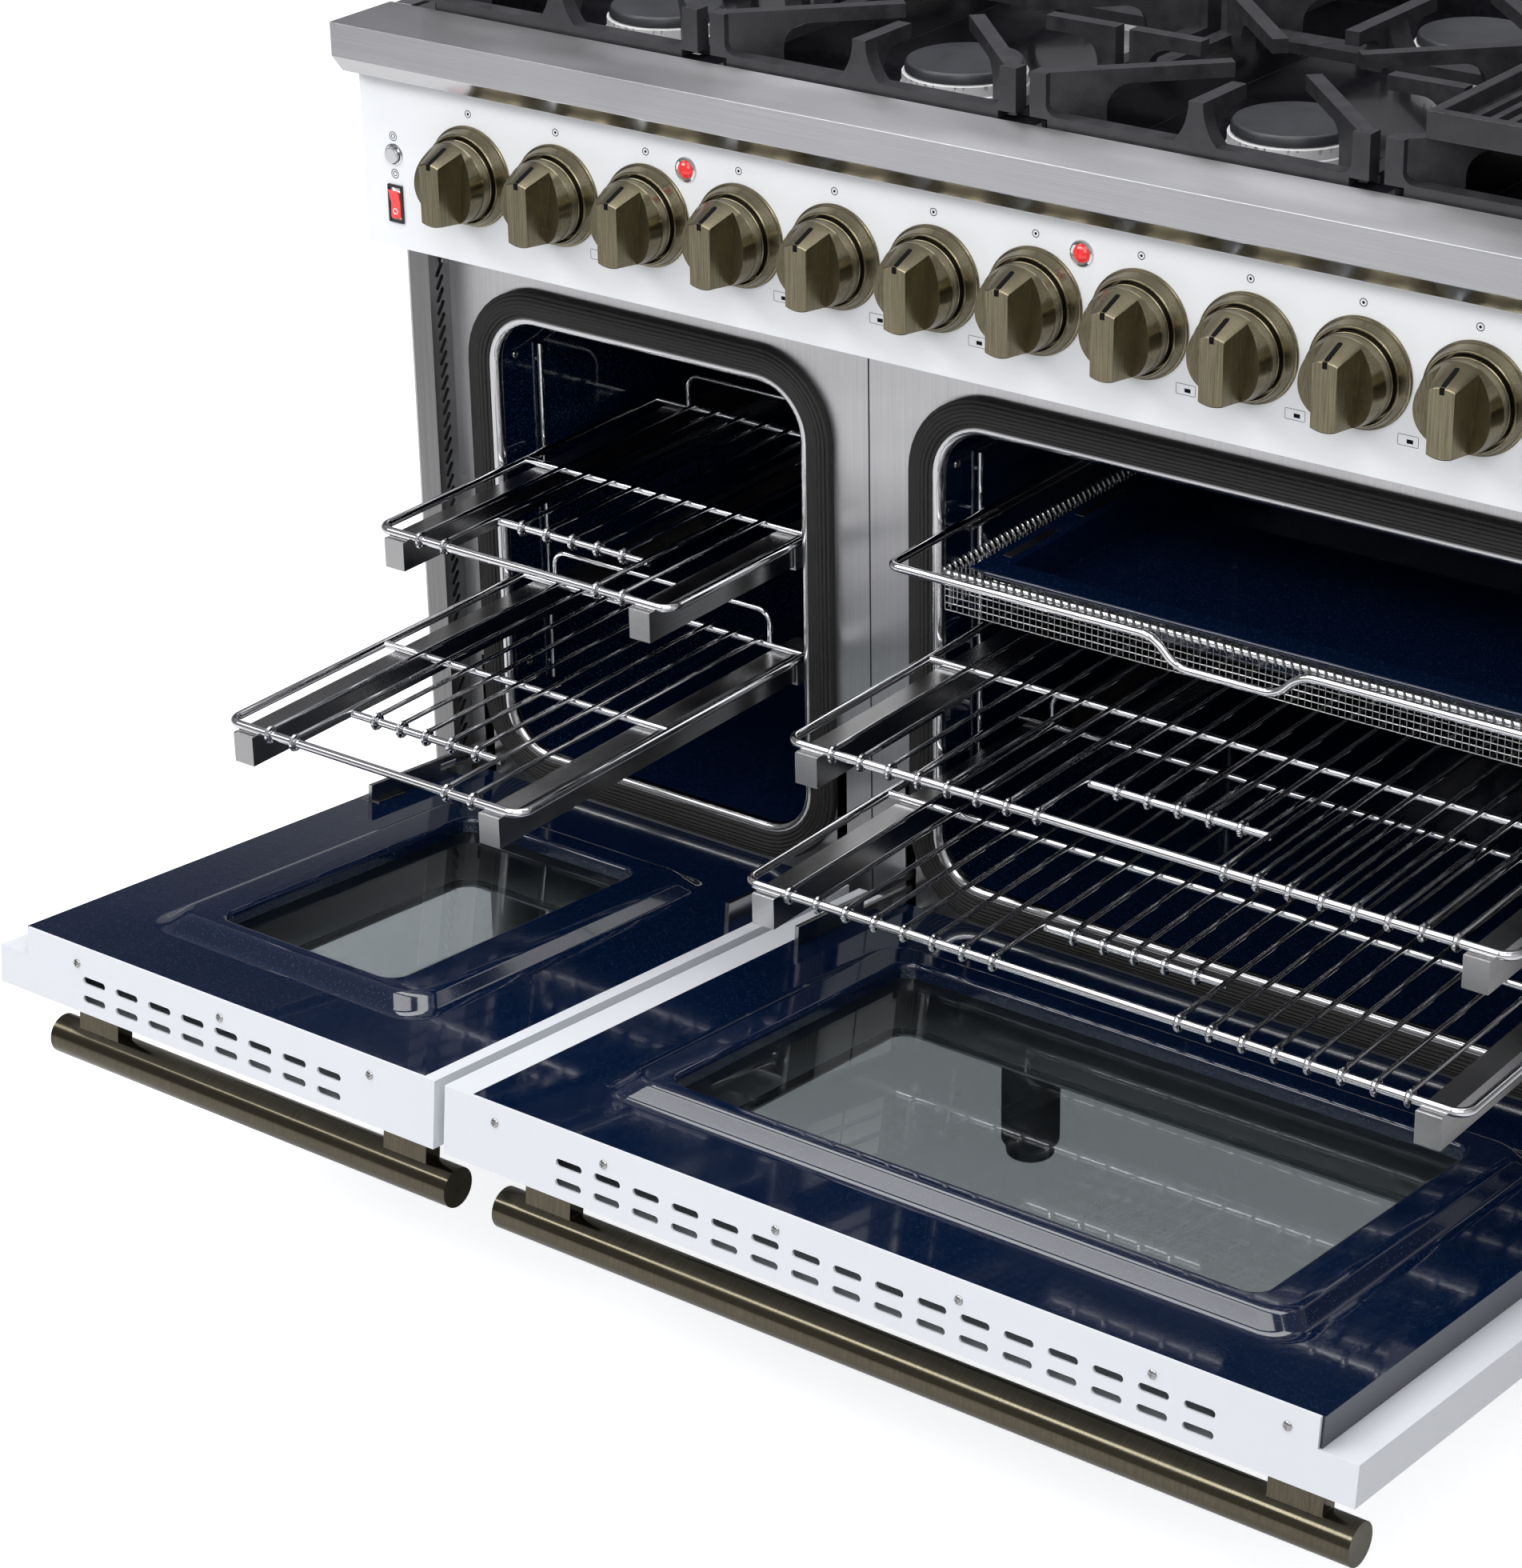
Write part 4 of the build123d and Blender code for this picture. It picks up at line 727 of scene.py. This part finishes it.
# %% Twelve knobs in their bezels
bezel_profile = [
    (41, 0), (41, 1.5), (40.5, 2.2), (39.4, 2.5), (37.2, 10.2), (36.7, 11.4), (36.1, 11.9), (35.2, 11.9),
    (34.7, 11.2), (34.5, 2),
]
bezel = turned("bezel_pattern", bezel_profile, 96)
smooth(bezel, 35)
panel_front = box("knob_bezels")[1].y
bezels = []
for number in range(1, 13):
    name = f"knob_{number:02d}"
    low, high = box(name)
    centre = Vector(((low.x + high.x) / 2, panel_front, (low.z + high.z) / 2))
    place = Matrix.Translation(centre) @ Matrix.Rotation(radians(90), 4, "X")
    turned_knob = copied(knob, name + "_turned", place)
    dress(turned_knob, "brass_knob", carrier[name])
    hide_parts(name)
    dress(copied(pointer, name + "_pointer", place), "print_black", carrier[name])
    bezels.append(copied(bezel, f"bezel_{number:02d}", place))
bezel_set = joined("knob_bezels_turned", bezels)
dress(bezel_set, "brass_knob", carrier["knob_bezels"])
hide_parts("knob_bezels")
for pattern in (knob, pointer, bezel):
    removed(pattern)
print("knobs", number, "bezel faces", len(bezel_set.data.polygons))

# %% [markdown]
# ## Marks, lamps and screws
# The panel has plain printed marks only: a dot in a ring over each knob, and an outlined box with a filled
# corner where a knob belongs to one burner. The lamps are red domes in chrome rims. One screw pattern serves
# the door ends, the columns and the oven walls.

# %% Printed marks
front = (0, -1, 0)
print_height = 0.12
dot_rise = 50.7
burner_knobs = (3, 5, 6, 7, 9, 10, 11)
marks = []
for number in range(1, 13):
    low, high = box(f"knob_{number:02d}")
    spot = Vector(((low.x + high.x) / 2, panel_front, (low.z + high.z) / 2))
    over = spot + at(0, 0, dot_rise)
    marks.append(rod("dot", over, over + at(0, -print_height, 0), 1.1 * mm, 16))
    marks.append(loop("dot_ring", over, 2.8 * mm, 0.3 * mm, front))
    if number in burner_knobs:
        corner = spot + at(-50, 0, -41.5)
        marks.append(block("burner_place", corner + at(-1, -print_height, -2), corner + at(4, 0, 1)))
        marks.append(ring("burner_box", corner, 8 * mm, 4 * mm, 0.8 * mm, 0.18 * mm, 1))
button_low, button_high = box("light_button")
button = (button_low + button_high) / 2
for rise in (15.0, -16.0):
    spot = Vector((button.x, panel_front, button.z + rise * mm))
    for radius in (3.6, 1.8):
        marks.append(loop("button_mark", spot, radius * mm, 0.3 * mm, front))
panel_marks = joined("panel_marks", marks)
dress(panel_marks, "print_black", carrier["control_panel"])
print("marks", len(panel_marks.data.polygons), "faces")

# %% Lamps, button collar and rocker mark
low, high = box("indicator_lights")
lamp_radius = (high.z - low.z) / 2
lamp_z = (low.z + high.z) / 2
lenses, rims = [], []
for x in (low.x + lamp_radius, high.x - lamp_radius):
    spot = (x, panel_front, lamp_z)
    lenses.append(
        new_piece(
            "lens",
            bpy.ops.mesh.primitive_uv_sphere_add,
            segments=20,
            ring_count=10,
            radius=1,
            location=spot,
            scale=at(7.2, 4.6, 7.2),
        )
    )
    rims.append(loop("lamp_rim", spot, 8.2 * mm, 1.9 * mm, front))
lens_set = joined("indicator_lenses", lenses)
smooth(lens_set, 10)
# The domes take the red with its painted glow.
dress(lens_set, "red_lens_painted_glow", carrier["indicator_lights"])
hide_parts("indicator_lights")
rims.append(loop("button_collar", (button.x, panel_front, button.z), 8.0 * mm, 1.3 * mm, front))
rim_set = joined("lamp_rims", rims)
smooth(rim_set)
dress(rim_set, "chrome", carrier["control_panel"])
low, high = box("rocker_switch")
mark_place = ((low.x + high.x) / 2, low.y + 2.4 * mm, low.z + 6 * mm)
rocker_mark = loop("rocker_mark", mark_place, 2.2 * mm, 0.45 * mm, front)
dress(rocker_mark, "white_enamel", carrier["rocker_switch"])
print("lamps", len(lenses))

# %% Screw pattern
screw = turned("screw_pattern", [(3.4, -0.6), (3.4, 0.5), (2.9, 1.2), (1.6, 1.7)], 24)
for turn in (0, 90):
    recess = block("recess", at(-2.1, -0.45, 0.8), at(2.1, 0.45, 3))
    recess.data.transform(Matrix.Rotation(radians(turn), 4, "Z"))
    shaped(screw, "BOOLEAN", object=recess, operation="DIFFERENCE", solver="EXACT")
    removed(recess)
smooth(screw, 30)

# %% Door places
joints = {joint["name"]: joint for joint in frame["record"]["behaviour"]["joints"]}
hinge = Vector(joints["left_door_hinge"]["pos_m"])
door_tilt = radians(90 - joints["left_door_hinge"]["range_deg"][1])
door_out = Vector((0, -cos(door_tilt), sin(door_tilt)))
door_up = Vector((0, sin(door_tilt), cos(door_tilt)))
door_length = 498.5
screw_level = 15.8
end_screws = {"left": (-520.7, -370.2, -219.8), "right": (-100.1, -0.3, 150.3, 301.7, 452.4, 552.4)}


def on_door(x, along, level):
    """A point on a door: across it, out from its hinge and up from the hinge line, in millimetres."""
    return hinge + Vector((x * mm, 0, 0)) + door_out * along * mm + door_up * level * mm


print("door tilt", round(degrees(door_tilt), 2))

# %% Screws
for side, places in end_screws.items():
    heads = [copied(screw, "screw", facing(on_door(x, door_length, screw_level), door_out)) for x in places]
    dress(joined(f"{side}_door_screws", heads), "steel_plain", carrier[f"{side}_door_shell"])
column_low = box("front_columns")[0]
column_width = 23 * mm
column_heights = (664, 420, 190)
wall_heights = (580, 300)
oven_wall = 1.5 * mm
screw_spots = [(column_low.x + column_width, column_low.y + 17 * mm, height * mm) for height in column_heights]
for side in ("left", "right"):
    low, high = box(f"{side}_oven_cavity")
    for height in wall_heights:
        for y in (low.y + 25 * mm, high.y - 60 * mm):
            screw_spots.append((low.x + oven_wall, y, height * mm))
wall_heads = [copied(screw, "screw", facing(Vector(spot), (1, 0, 0))) for spot in screw_spots]
dress(joined("body_screws", wall_heads), "steel_plain", carrier["face_frame"])
print("screws", len(wall_heads) + sum(len(places) for places in end_screws.values()))

# %% [markdown]
# ## Ovens and doors
# Each oven mouth has a polished rolled lip and a braided gasket around it. The gasket is a low band with
# seven cords side by side. The blue liner of a door rises to a raised frame with wide soft edges, which give
# the long highlights, so those edges get a wide bevel before the rest get a narrow one.

# %% Gaskets and mouth lips
cord_count = 7
cord_radius = 2.0 * mm
gasket_width = 22 * mm
mouth_corner = 48 * mm
gasket_arch = 3.0 * mm
lip_radius = 6.0 * mm
lip_inset = 2.0 * mm
gasket_low, gasket_high = box("oven_gaskets")
cords, lips = [], []
for side in ("left", "right"):
    low, high = box(f"{side}_oven_cavity")
    half = Vector(((high.x - low.x) / 2 - oven_wall, 0, (high.z - low.z) / 2 - oven_wall))
    middle = (low + high) / 2
    for index in range(cord_count):
        across = (index + 0.5) / cord_count
        offset = across * gasket_width
        depth = gasket_low.y + cord_radius + (2 * across - 1) ** 2 * gasket_arch
        centre = (middle.x, depth, middle.z)
        cord_half = (half.x + offset, half.z + offset)
        cords.append(ring("cord", centre, *cord_half, mouth_corner + offset, cord_radius, 2))
    centre = (middle.x, gasket_high.y - mm, middle.z)
    lip_half = (half.x - lip_inset, half.z - lip_inset)
    lips.append(ring("lip", centre, *lip_half, mouth_corner - lip_inset, lip_radius, 4))
band = solid_copy("oven_gaskets")
edit(band, "VERT", lambda vertex: True)
bpy.ops.transform.resize(value=(1, 0.6, 1), center_override=(0, gasket_high.y, 0))
done()
gaskets = joined("oven_gaskets_braided", cords + [band])
dress(gaskets, "braided_gasket", carrier["oven_gaskets"])
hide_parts("oven_gaskets")
dress(joined("mouth_lips", lips), "steel_polished", carrier["face_frame"])
print("gaskets", len(gaskets.data.polygons), "faces")

# %% Door liners
liner_level = 30.4 * mm
liner_rise = 12.0 * mm
level_slack = 0.3 * mm


def door_level(point):
    """How far a point stands over the hinge line, square to the door."""
    return (point - hinge).dot(door_up)


def on_top(line):
    """Whether an edge lies on top of the raised frame."""
    return all(door_level(corner.co) > liner_level + liner_rise - level_slack for corner in line.verts)


def at_foot(line):
    """Whether an edge runs along the foot of the raised frame."""
    low_line = all(abs(door_level(corner.co) - liner_level) < level_slack for corner in line.verts)
    return low_line and not line.is_convex


for side in ("left", "right"):
    name = f"{side}_door_liner"
    liner = solid_copy(name)
    edit(liner, "EDGE", on_top)
    bpy.ops.mesh.bevel(offset=4.5 * mm, segments=5, affect="EDGES")
    done()
    edit(liner, "EDGE", at_foot)
    bpy.ops.mesh.bevel(offset=6 * mm, segments=4, affect="EDGES")
    done()
    rounded(liner, 0.7 * mm)
    dress(liner, "blue_enamel", carrier[name])
    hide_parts(name)
    print(name, len(liner.data.polygons), "faces")

# %% Hinge cover plate and frame seam
plate_x, plate_along, plate_level = -565.5, 97, 30.4
plate_thickness = 1.2
plate = block("hinge_cover", at(-10, -17, -0.4), at(10, 17, plate_thickness))
plate.data.transform(facing(on_door(plate_x, plate_along, plate_level), door_up))
rounded(plate, 0.5 * mm)
screw_place = facing(on_door(plate_x, plate_along, plate_level + plate_thickness), door_up)
plate_screw = copied(screw, "plate_screw", screw_place)
cover = joined("hinge_cover_plate", [plate, plate_screw])
dress(cover, "steel_plain", carrier["left_door_liner"])
removed(screw)
frame_low, frame_high = box("face_frame")
seam_x = -153.0 * mm
frame_face = frame_low.y + 4 * mm
seam = block(
    "frame_seam",
    (seam_x - 0.7 * mm, frame_face - 0.15 * mm, frame_low.z + mm),
    (seam_x + 0.7 * mm, frame_face, frame_high.z - mm),
)
dress(seam, "black_plastic", carrier["face_frame"])
print("seam at", round(seam_x, 4))

# %% [markdown]
# ## Racks
# A rack is one welded solid. Its slide rails are satin sheet and its wires are chrome, so the faces of the
# rails are separated into a piece of their own. Each rung curls round its front bar, which shows as a small
# ring.

# %% Rails, wires and hooks
rail_height = 25 * mm
rail_half = 10 * mm
rail_inset = 26.5 * mm
bar_radius = 3.5 * mm
front_bar_setback = 9 * mm
short_bar_setback = 75 * mm
rung_pitch = 26 * mm
rung_margin = 18 * mm
middle_rungs = 2
for name in ("left_upper_rack", "left_lower_rack", "right_upper_rack", "right_lower_rack"):
    low, high = box(name)
    middle = (low.x + high.x) / 2
    rail_out = (high.x - low.x) / 2 - rail_inset
    rail_top = low.z + rail_height

    def on_rail(face):
        """Whether a face belongs to a slide rail."""
        spot = face.calc_center_median()
        return spot.z < rail_top + 0.05 * mm and abs(abs(spot.x - middle) - rail_out) < rail_half + 0.05 * mm

    wires = solid_copy(name)
    edit(wires, "FACE", on_rail)
    bpy.ops.mesh.separate(type="SELECTED")
    done()
    rails = [piece for piece in bpy.context.selected_objects if piece != wires][0]
    rails.name = name + "_rails"
    rounded(rails, 1.4 * mm, 3)
    dress(rails, "steel_rail", carrier[name])
    smooth(wires)
    hooks = []
    rungs = int((rail_out - rung_margin) / rung_pitch)
    for index in range(-rungs, rungs + 1):
        setback = short_bar_setback if abs(index) <= middle_rungs else front_bar_setback
        place = (middle + index * rung_pitch, low.y + setback, rail_top + bar_radius - 0.8 * mm)
        hooks.append(loop("hook", place, 5.3 * mm, 2.0 * mm, (1, 0, 0), (16, 8)))
    rack = joined(name + "_wires", [wires] + hooks)
    smooth(rack)
    dress(rack, "chrome", carrier[name])
    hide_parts(name)
    print(name, len(hooks), "hooks", len(rack.data.polygons), "faces")

# %% [markdown]
# ## Air-fry basket
# The basket hangs from a bent wire frame with a dropped grip. Its walls and floor are woven mesh, here a grid
# turned into wire, and the mesh is laced to the frame by a row of small loops.

# %% Basket frame
low, high = box("air_fry_basket")
frame_wire = 3.5 * mm
mesh_wire = 0.9 * mm
mesh_pitch = 5.5 * mm
mesh_drop = 28 * mm
mesh_side = 46 * mm
grip_half_width = 62 * mm
grip_drop = 20 * mm
middle = (low.x + high.x) / 2
half = (high.x - low.x) / 2 - frame_wire
level = high.z - frame_wire
front_y = low.y + frame_wire
back_y = high.y - 4 * mm
mesh_half = half - mesh_side
grip_foot = grip_half_width - grip_drop
handle_path = [
    (middle - half, back_y + 4 * mm, level),
    (middle - half, front_y, level),
    (middle - grip_half_width, front_y, level),
    (middle - grip_foot, front_y, level - grip_drop),
    (middle + grip_foot, front_y, level - grip_drop),
    (middle + grip_half_width, front_y, level),
    (middle + half, front_y, level),
    (middle + half, back_y + 4 * mm, level),
]
mesh_front = front_y + 9 * mm
rim_z = level + 2 * mm
basket = [bent_wire("handle", handle_path, frame_wire, 10 * mm, 4)]
basket.append(rod("back_bar", (middle - half, back_y, level), (middle + half, back_y, level), frame_wire))
rim_wire = 2.8 * mm
rim_ends = (middle - mesh_half, middle + mesh_half)
basket.append(rod("front_rim", (rim_ends[0], mesh_front, rim_z), (rim_ends[1], mesh_front, rim_z), rim_wire))
for x in rim_ends:
    basket.append(rod("side_rim", (x, mesh_front, rim_z), (x, back_y, rim_z), rim_wire))
basket_frame = joined("air_fry_basket_frame", basket)
smooth(basket_frame)
dress(basket_frame, "chrome", carrier["air_fry_basket"])
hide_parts("air_fry_basket")
print("basket frame", len(basket_frame.data.polygons), "faces")

# %% Basket mesh
def mesh_panel(name, centre, size, turn, pitch):
    """A flat panel of square mesh."""
    panel = new_piece(
        name,
        bpy.ops.mesh.primitive_grid_add,
        x_subdivisions=round(size[0] / pitch),
        y_subdivisions=round(size[1] / pitch),
        size=1,
        location=centre,
        rotation=turn,
        scale=(*size, 1),
    )
    shaped(panel, "WIREFRAME", thickness=mesh_wire, use_even_offset=False)
    return panel


upright = radians(90)
mesh_depth = back_y - mesh_front
mesh_mid_y = (mesh_front + back_y) / 2
wall_z = level - mesh_drop / 2
woven = []
for y in (mesh_front, back_y - 4 * mm):
    size = (2 * mesh_half, mesh_drop)
    woven.append(mesh_panel("mesh_wall", (middle, y, wall_z), size, (upright, 0, 0), mesh_pitch))
for x in rim_ends:
    size = (mesh_depth, mesh_drop)
    woven.append(mesh_panel("mesh_wall", (x, mesh_mid_y, wall_z), size, (upright, 0, upright), mesh_pitch))
size = (2 * mesh_half, mesh_depth)
floor_place = (middle, mesh_mid_y, level - mesh_drop)
woven.append(mesh_panel("mesh_floor", floor_place, size, (0, 0, 0), 2 * mesh_pitch))
lace_pitch = 7 * mm
lace_runs = [
    ((middle - mesh_half, mesh_front, rim_z), (lace_pitch, 0, 0), 2 * mesh_half, (1, 0.5, 0.3)),
    ((middle - mesh_half, mesh_front, rim_z), (0, lace_pitch, 0), mesh_depth, (0.5, 1, 0.3)),
    ((middle + mesh_half, mesh_front, rim_z), (0, lace_pitch, 0), mesh_depth, (0.5, 1, 0.3)),
]
for start, step, length, axis in lace_runs:
    lace = loop("lace", start, 4.2 * mm, 0.8 * mm, axis, (10, 5))
    shaped(
        lace,
        "ARRAY",
        count=int(length / lace_pitch),
        use_relative_offset=False,
        use_constant_offset=True,
        constant_offset_displace=step,
    )
    woven.append(lace)
basket_mesh = joined("air_fry_basket_woven", woven)
smooth(basket_mesh)
dress(basket_mesh, "mesh_wire", carrier["air_fry_basket"])
print("basket mesh", len(basket_mesh.data.polygons), "faces")

# %% Tray rim
low, high = box("air_fry_tray")
middle = (low + high) / 2
roll = 2.4 * mm
rolled_half = ((high.x - low.x) / 2 - roll / 2, (high.y - low.y) / 2 - roll / 2)
tray_roll = ring(
    "air_fry_tray_roll", (middle.x, middle.y, high.z - roll), *rolled_half, 16 * mm, roll, 3, turn=(0, 0, 0)
)
dress(tray_roll, "blue_enamel", carrier["air_fry_tray"])
slot_length = 66 * mm
slot_width = 8 * mm
slots = []
for x in (low.x + 12 * mm, high.x - 12 * mm):
    for share in (0.2, 0.5, 0.8):
        y = low.y + share * (high.y - low.y)
        slot_low = (x - slot_width / 2, y - slot_length / 2, high.z - mm)
        slot_high = (x + slot_width / 2, y + slot_length / 2, high.z + 0.2 * mm)
        slots.append(block("tray_slot", slot_low, slot_high))
dress(joined("air_fry_tray_slots", slots), "mesh_wire", carrier["air_fry_tray"])
print("tray slots", len(slots))

# %% [markdown]
# ## Cooktop
# Every burner has a bright ring with narrow flame slots under its matt cap. The grates are cast, so their
# edges are rounded all over.

# %% Burner rings
flame_slots = 38
slot_share = 5
slot_sides = slot_share * flame_slots
flame_low, flame_high = 18, 22
head_profile = [(50, 0), (50, 13), (49, 14), (49, flame_low), (49, flame_high), (46, 23)]
head = turned("burner_pattern", head_profile, slot_sides)


def flame_slot(face):
    """Whether a face of the burner ring is one of the slots."""
    spot = face.calc_center_median()
    place = int(atan2(spot.y, spot.x) / tau * slot_sides + slot_sides)
    return flame_low * mm < spot.z < flame_high * mm and place % slot_share == 0


edit(head, "FACE", flame_slot)
bpy.ops.mesh.extrude_faces_move(TRANSFORM_OT_shrink_fatten={"value": -3 * mm})
done()
smooth(head, 30)
heads = []
for number in range(1, 5):
    low, high = box(f"grate_{number}")
    for share in (0.25, 0.75):
        place = Vector(((low.x + high.x) / 2, low.y + share * (high.y - low.y), box("burner_heads")[0].z))
        heads.append(copied(head, "burner_head", Matrix.Translation(place)))
head_set = joined("burner_heads_slotted", heads)
dress(head_set, "aluminium", carrier["burner_heads"])
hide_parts("burner_heads")
removed(head)
print("burners", len(heads))

# %% Grates
for number in range(1, 5):
    name = f"grate_{number}"
    grate = solid_copy(name)
    rounded(grate, 1.4 * mm)
    dress(grate, "cast_iron", carrier[name])
    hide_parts(name)
    print(name, len(grate.data.polygons), "faces")

# %% [markdown]
# ## Floor and light
# The range stands on a pale floor in a soft studio. The floor shows white to the camera and through glass,
# and still takes the shadow of the range. Large soft boxes give the long highlights on steel and brass. In
# front the world grows brighter to the right. Behind, a low bright band lights the flat steel, and a dark band
# over it keeps the blue enamel deep.

# %% Floor
floor_size = 60.0
floor = new_piece("floor", bpy.ops.mesh.primitive_plane_add, size=floor_size)
floor_material = bpy.data.materials.new("pale_floor")
floor_material.use_nodes = True
tree = floor_material.node_tree
paint = tree.nodes["Principled BSDF"]
paint.inputs["Base Color"].default_value = (0.70, 0.70, 0.71, 1)
paint.inputs["Roughness"].default_value = 0.7
glow = add_node(tree, "Emission", {"Color": (1, 1, 1, 1), "Strength": 0.75})
both = add_node(tree, "AddShader")
seen = add_node(tree, "LightPath")
seen_through = add_node(tree, "Math", operation="MAXIMUM")
choice = add_node(tree, "MixShader")
floor_links = [
    (seen.outputs["Is Camera Ray"], seen_through.inputs[0]),
    (seen.outputs["Is Transmission Ray"], seen_through.inputs[1]),
    (paint.outputs[0], both.inputs[0]),
    (glow.outputs[0], both.inputs[1]),
    (seen_through.outputs[0], choice.inputs[0]),
    (paint.outputs[0], choice.inputs[1]),
    (both.outputs[0], choice.inputs[2]),
    (choice.outputs[0], tree.nodes["Material Output"].inputs["Surface"]),
]
for source, target in floor_links:
    tree.links.new(source, target)
floor.data.materials.append(floor_material)
print("floor", floor_size, "m")

# %% World
world = bpy.data.worlds.new("studio")
bpy.context.scene.world = world
world.use_nodes = True
tree = world.node_tree
direction = add_node(tree, "TexCoord")
parts = add_node(tree, "SeparateXYZ")
back_wall = add_node(tree, "ValToRGB")
back_stops = [(0.0, 0.30), (0.285, 0.36), (0.315, 0.06), (0.40, 0.06), (0.5, 0.35), (1.0, 0.25)]
while len(back_wall.color_ramp.elements) < len(back_stops):
    back_wall.color_ramp.elements.new(1.0)
for stop, (place, value) in zip(back_wall.color_ramp.elements, back_stops):
    stop.position = place
    stop.color = (value, value, value * 1.06, 1)
depth = add_node(tree, "MapRange", {"From Min": -0.25, "From Max": 0.35})
blend = add_node(tree, "Mix", data_type="RGBA")
side = add_node(tree, "MapRange", {"From Min": -0.8, "From Max": 0.8, "To Min": 0.24, "To Max": 0.75})
world_links = [
    (direction.outputs["Generated"], parts.inputs[0]),
    (parts.outputs["X"], side.inputs["Value"]),
    (parts.outputs["Y"], depth.inputs["Value"]),
    (parts.outputs["Z"], back_wall.inputs["Fac"]),
    (depth.outputs[0], blend.inputs[0]),
    (side.outputs[0], blend.inputs[6]),
    (back_wall.outputs["Color"], blend.inputs[7]),
    (blend.outputs[2], tree.nodes["Background"].inputs["Color"]),
]
for source, target in world_links:
    tree.links.new(source, target)
tree.nodes["Background"].inputs["Strength"].default_value = 0.8
print("world ready")

# %% Soft boxes
def softbox(name, place, aim, size, power):
    """A rectangular soft light at a place, turned to a point."""
    lamp = bpy.data.lights.new(name, "AREA")
    lamp.shape = "RECTANGLE"
    lamp.size, lamp.size_y = size
    lamp.energy = power
    stand = bpy.data.objects.new(name, lamp)
    stand.location = place
    stand.rotation_euler = (Vector(place) - Vector(aim)).to_track_quat("Z", "Y").to_euler()
    bpy.context.scene.collection.objects.link(stand)


softbox("key_box", (1.3, -2.3, 2.7), (-0.1, -0.2, 0.6), (2.6, 1.8), 58)
softbox("front_box", (-1.7, -2.35, 2.6), (-0.9, -0.5, 0.2), (2.8, 0.8), 50)
softbox("top_box", (-0.6, 0.75, 3.3), (-0.6, 0.74, 0), (3.2, 0.9), 46)
softbox("strip_box", (-0.9, -0.7, 3.3), (-0.9, -0.71, 0), (2.8, 1.2), 46)
bpy.context.scene.view_settings.view_transform = "Standard"
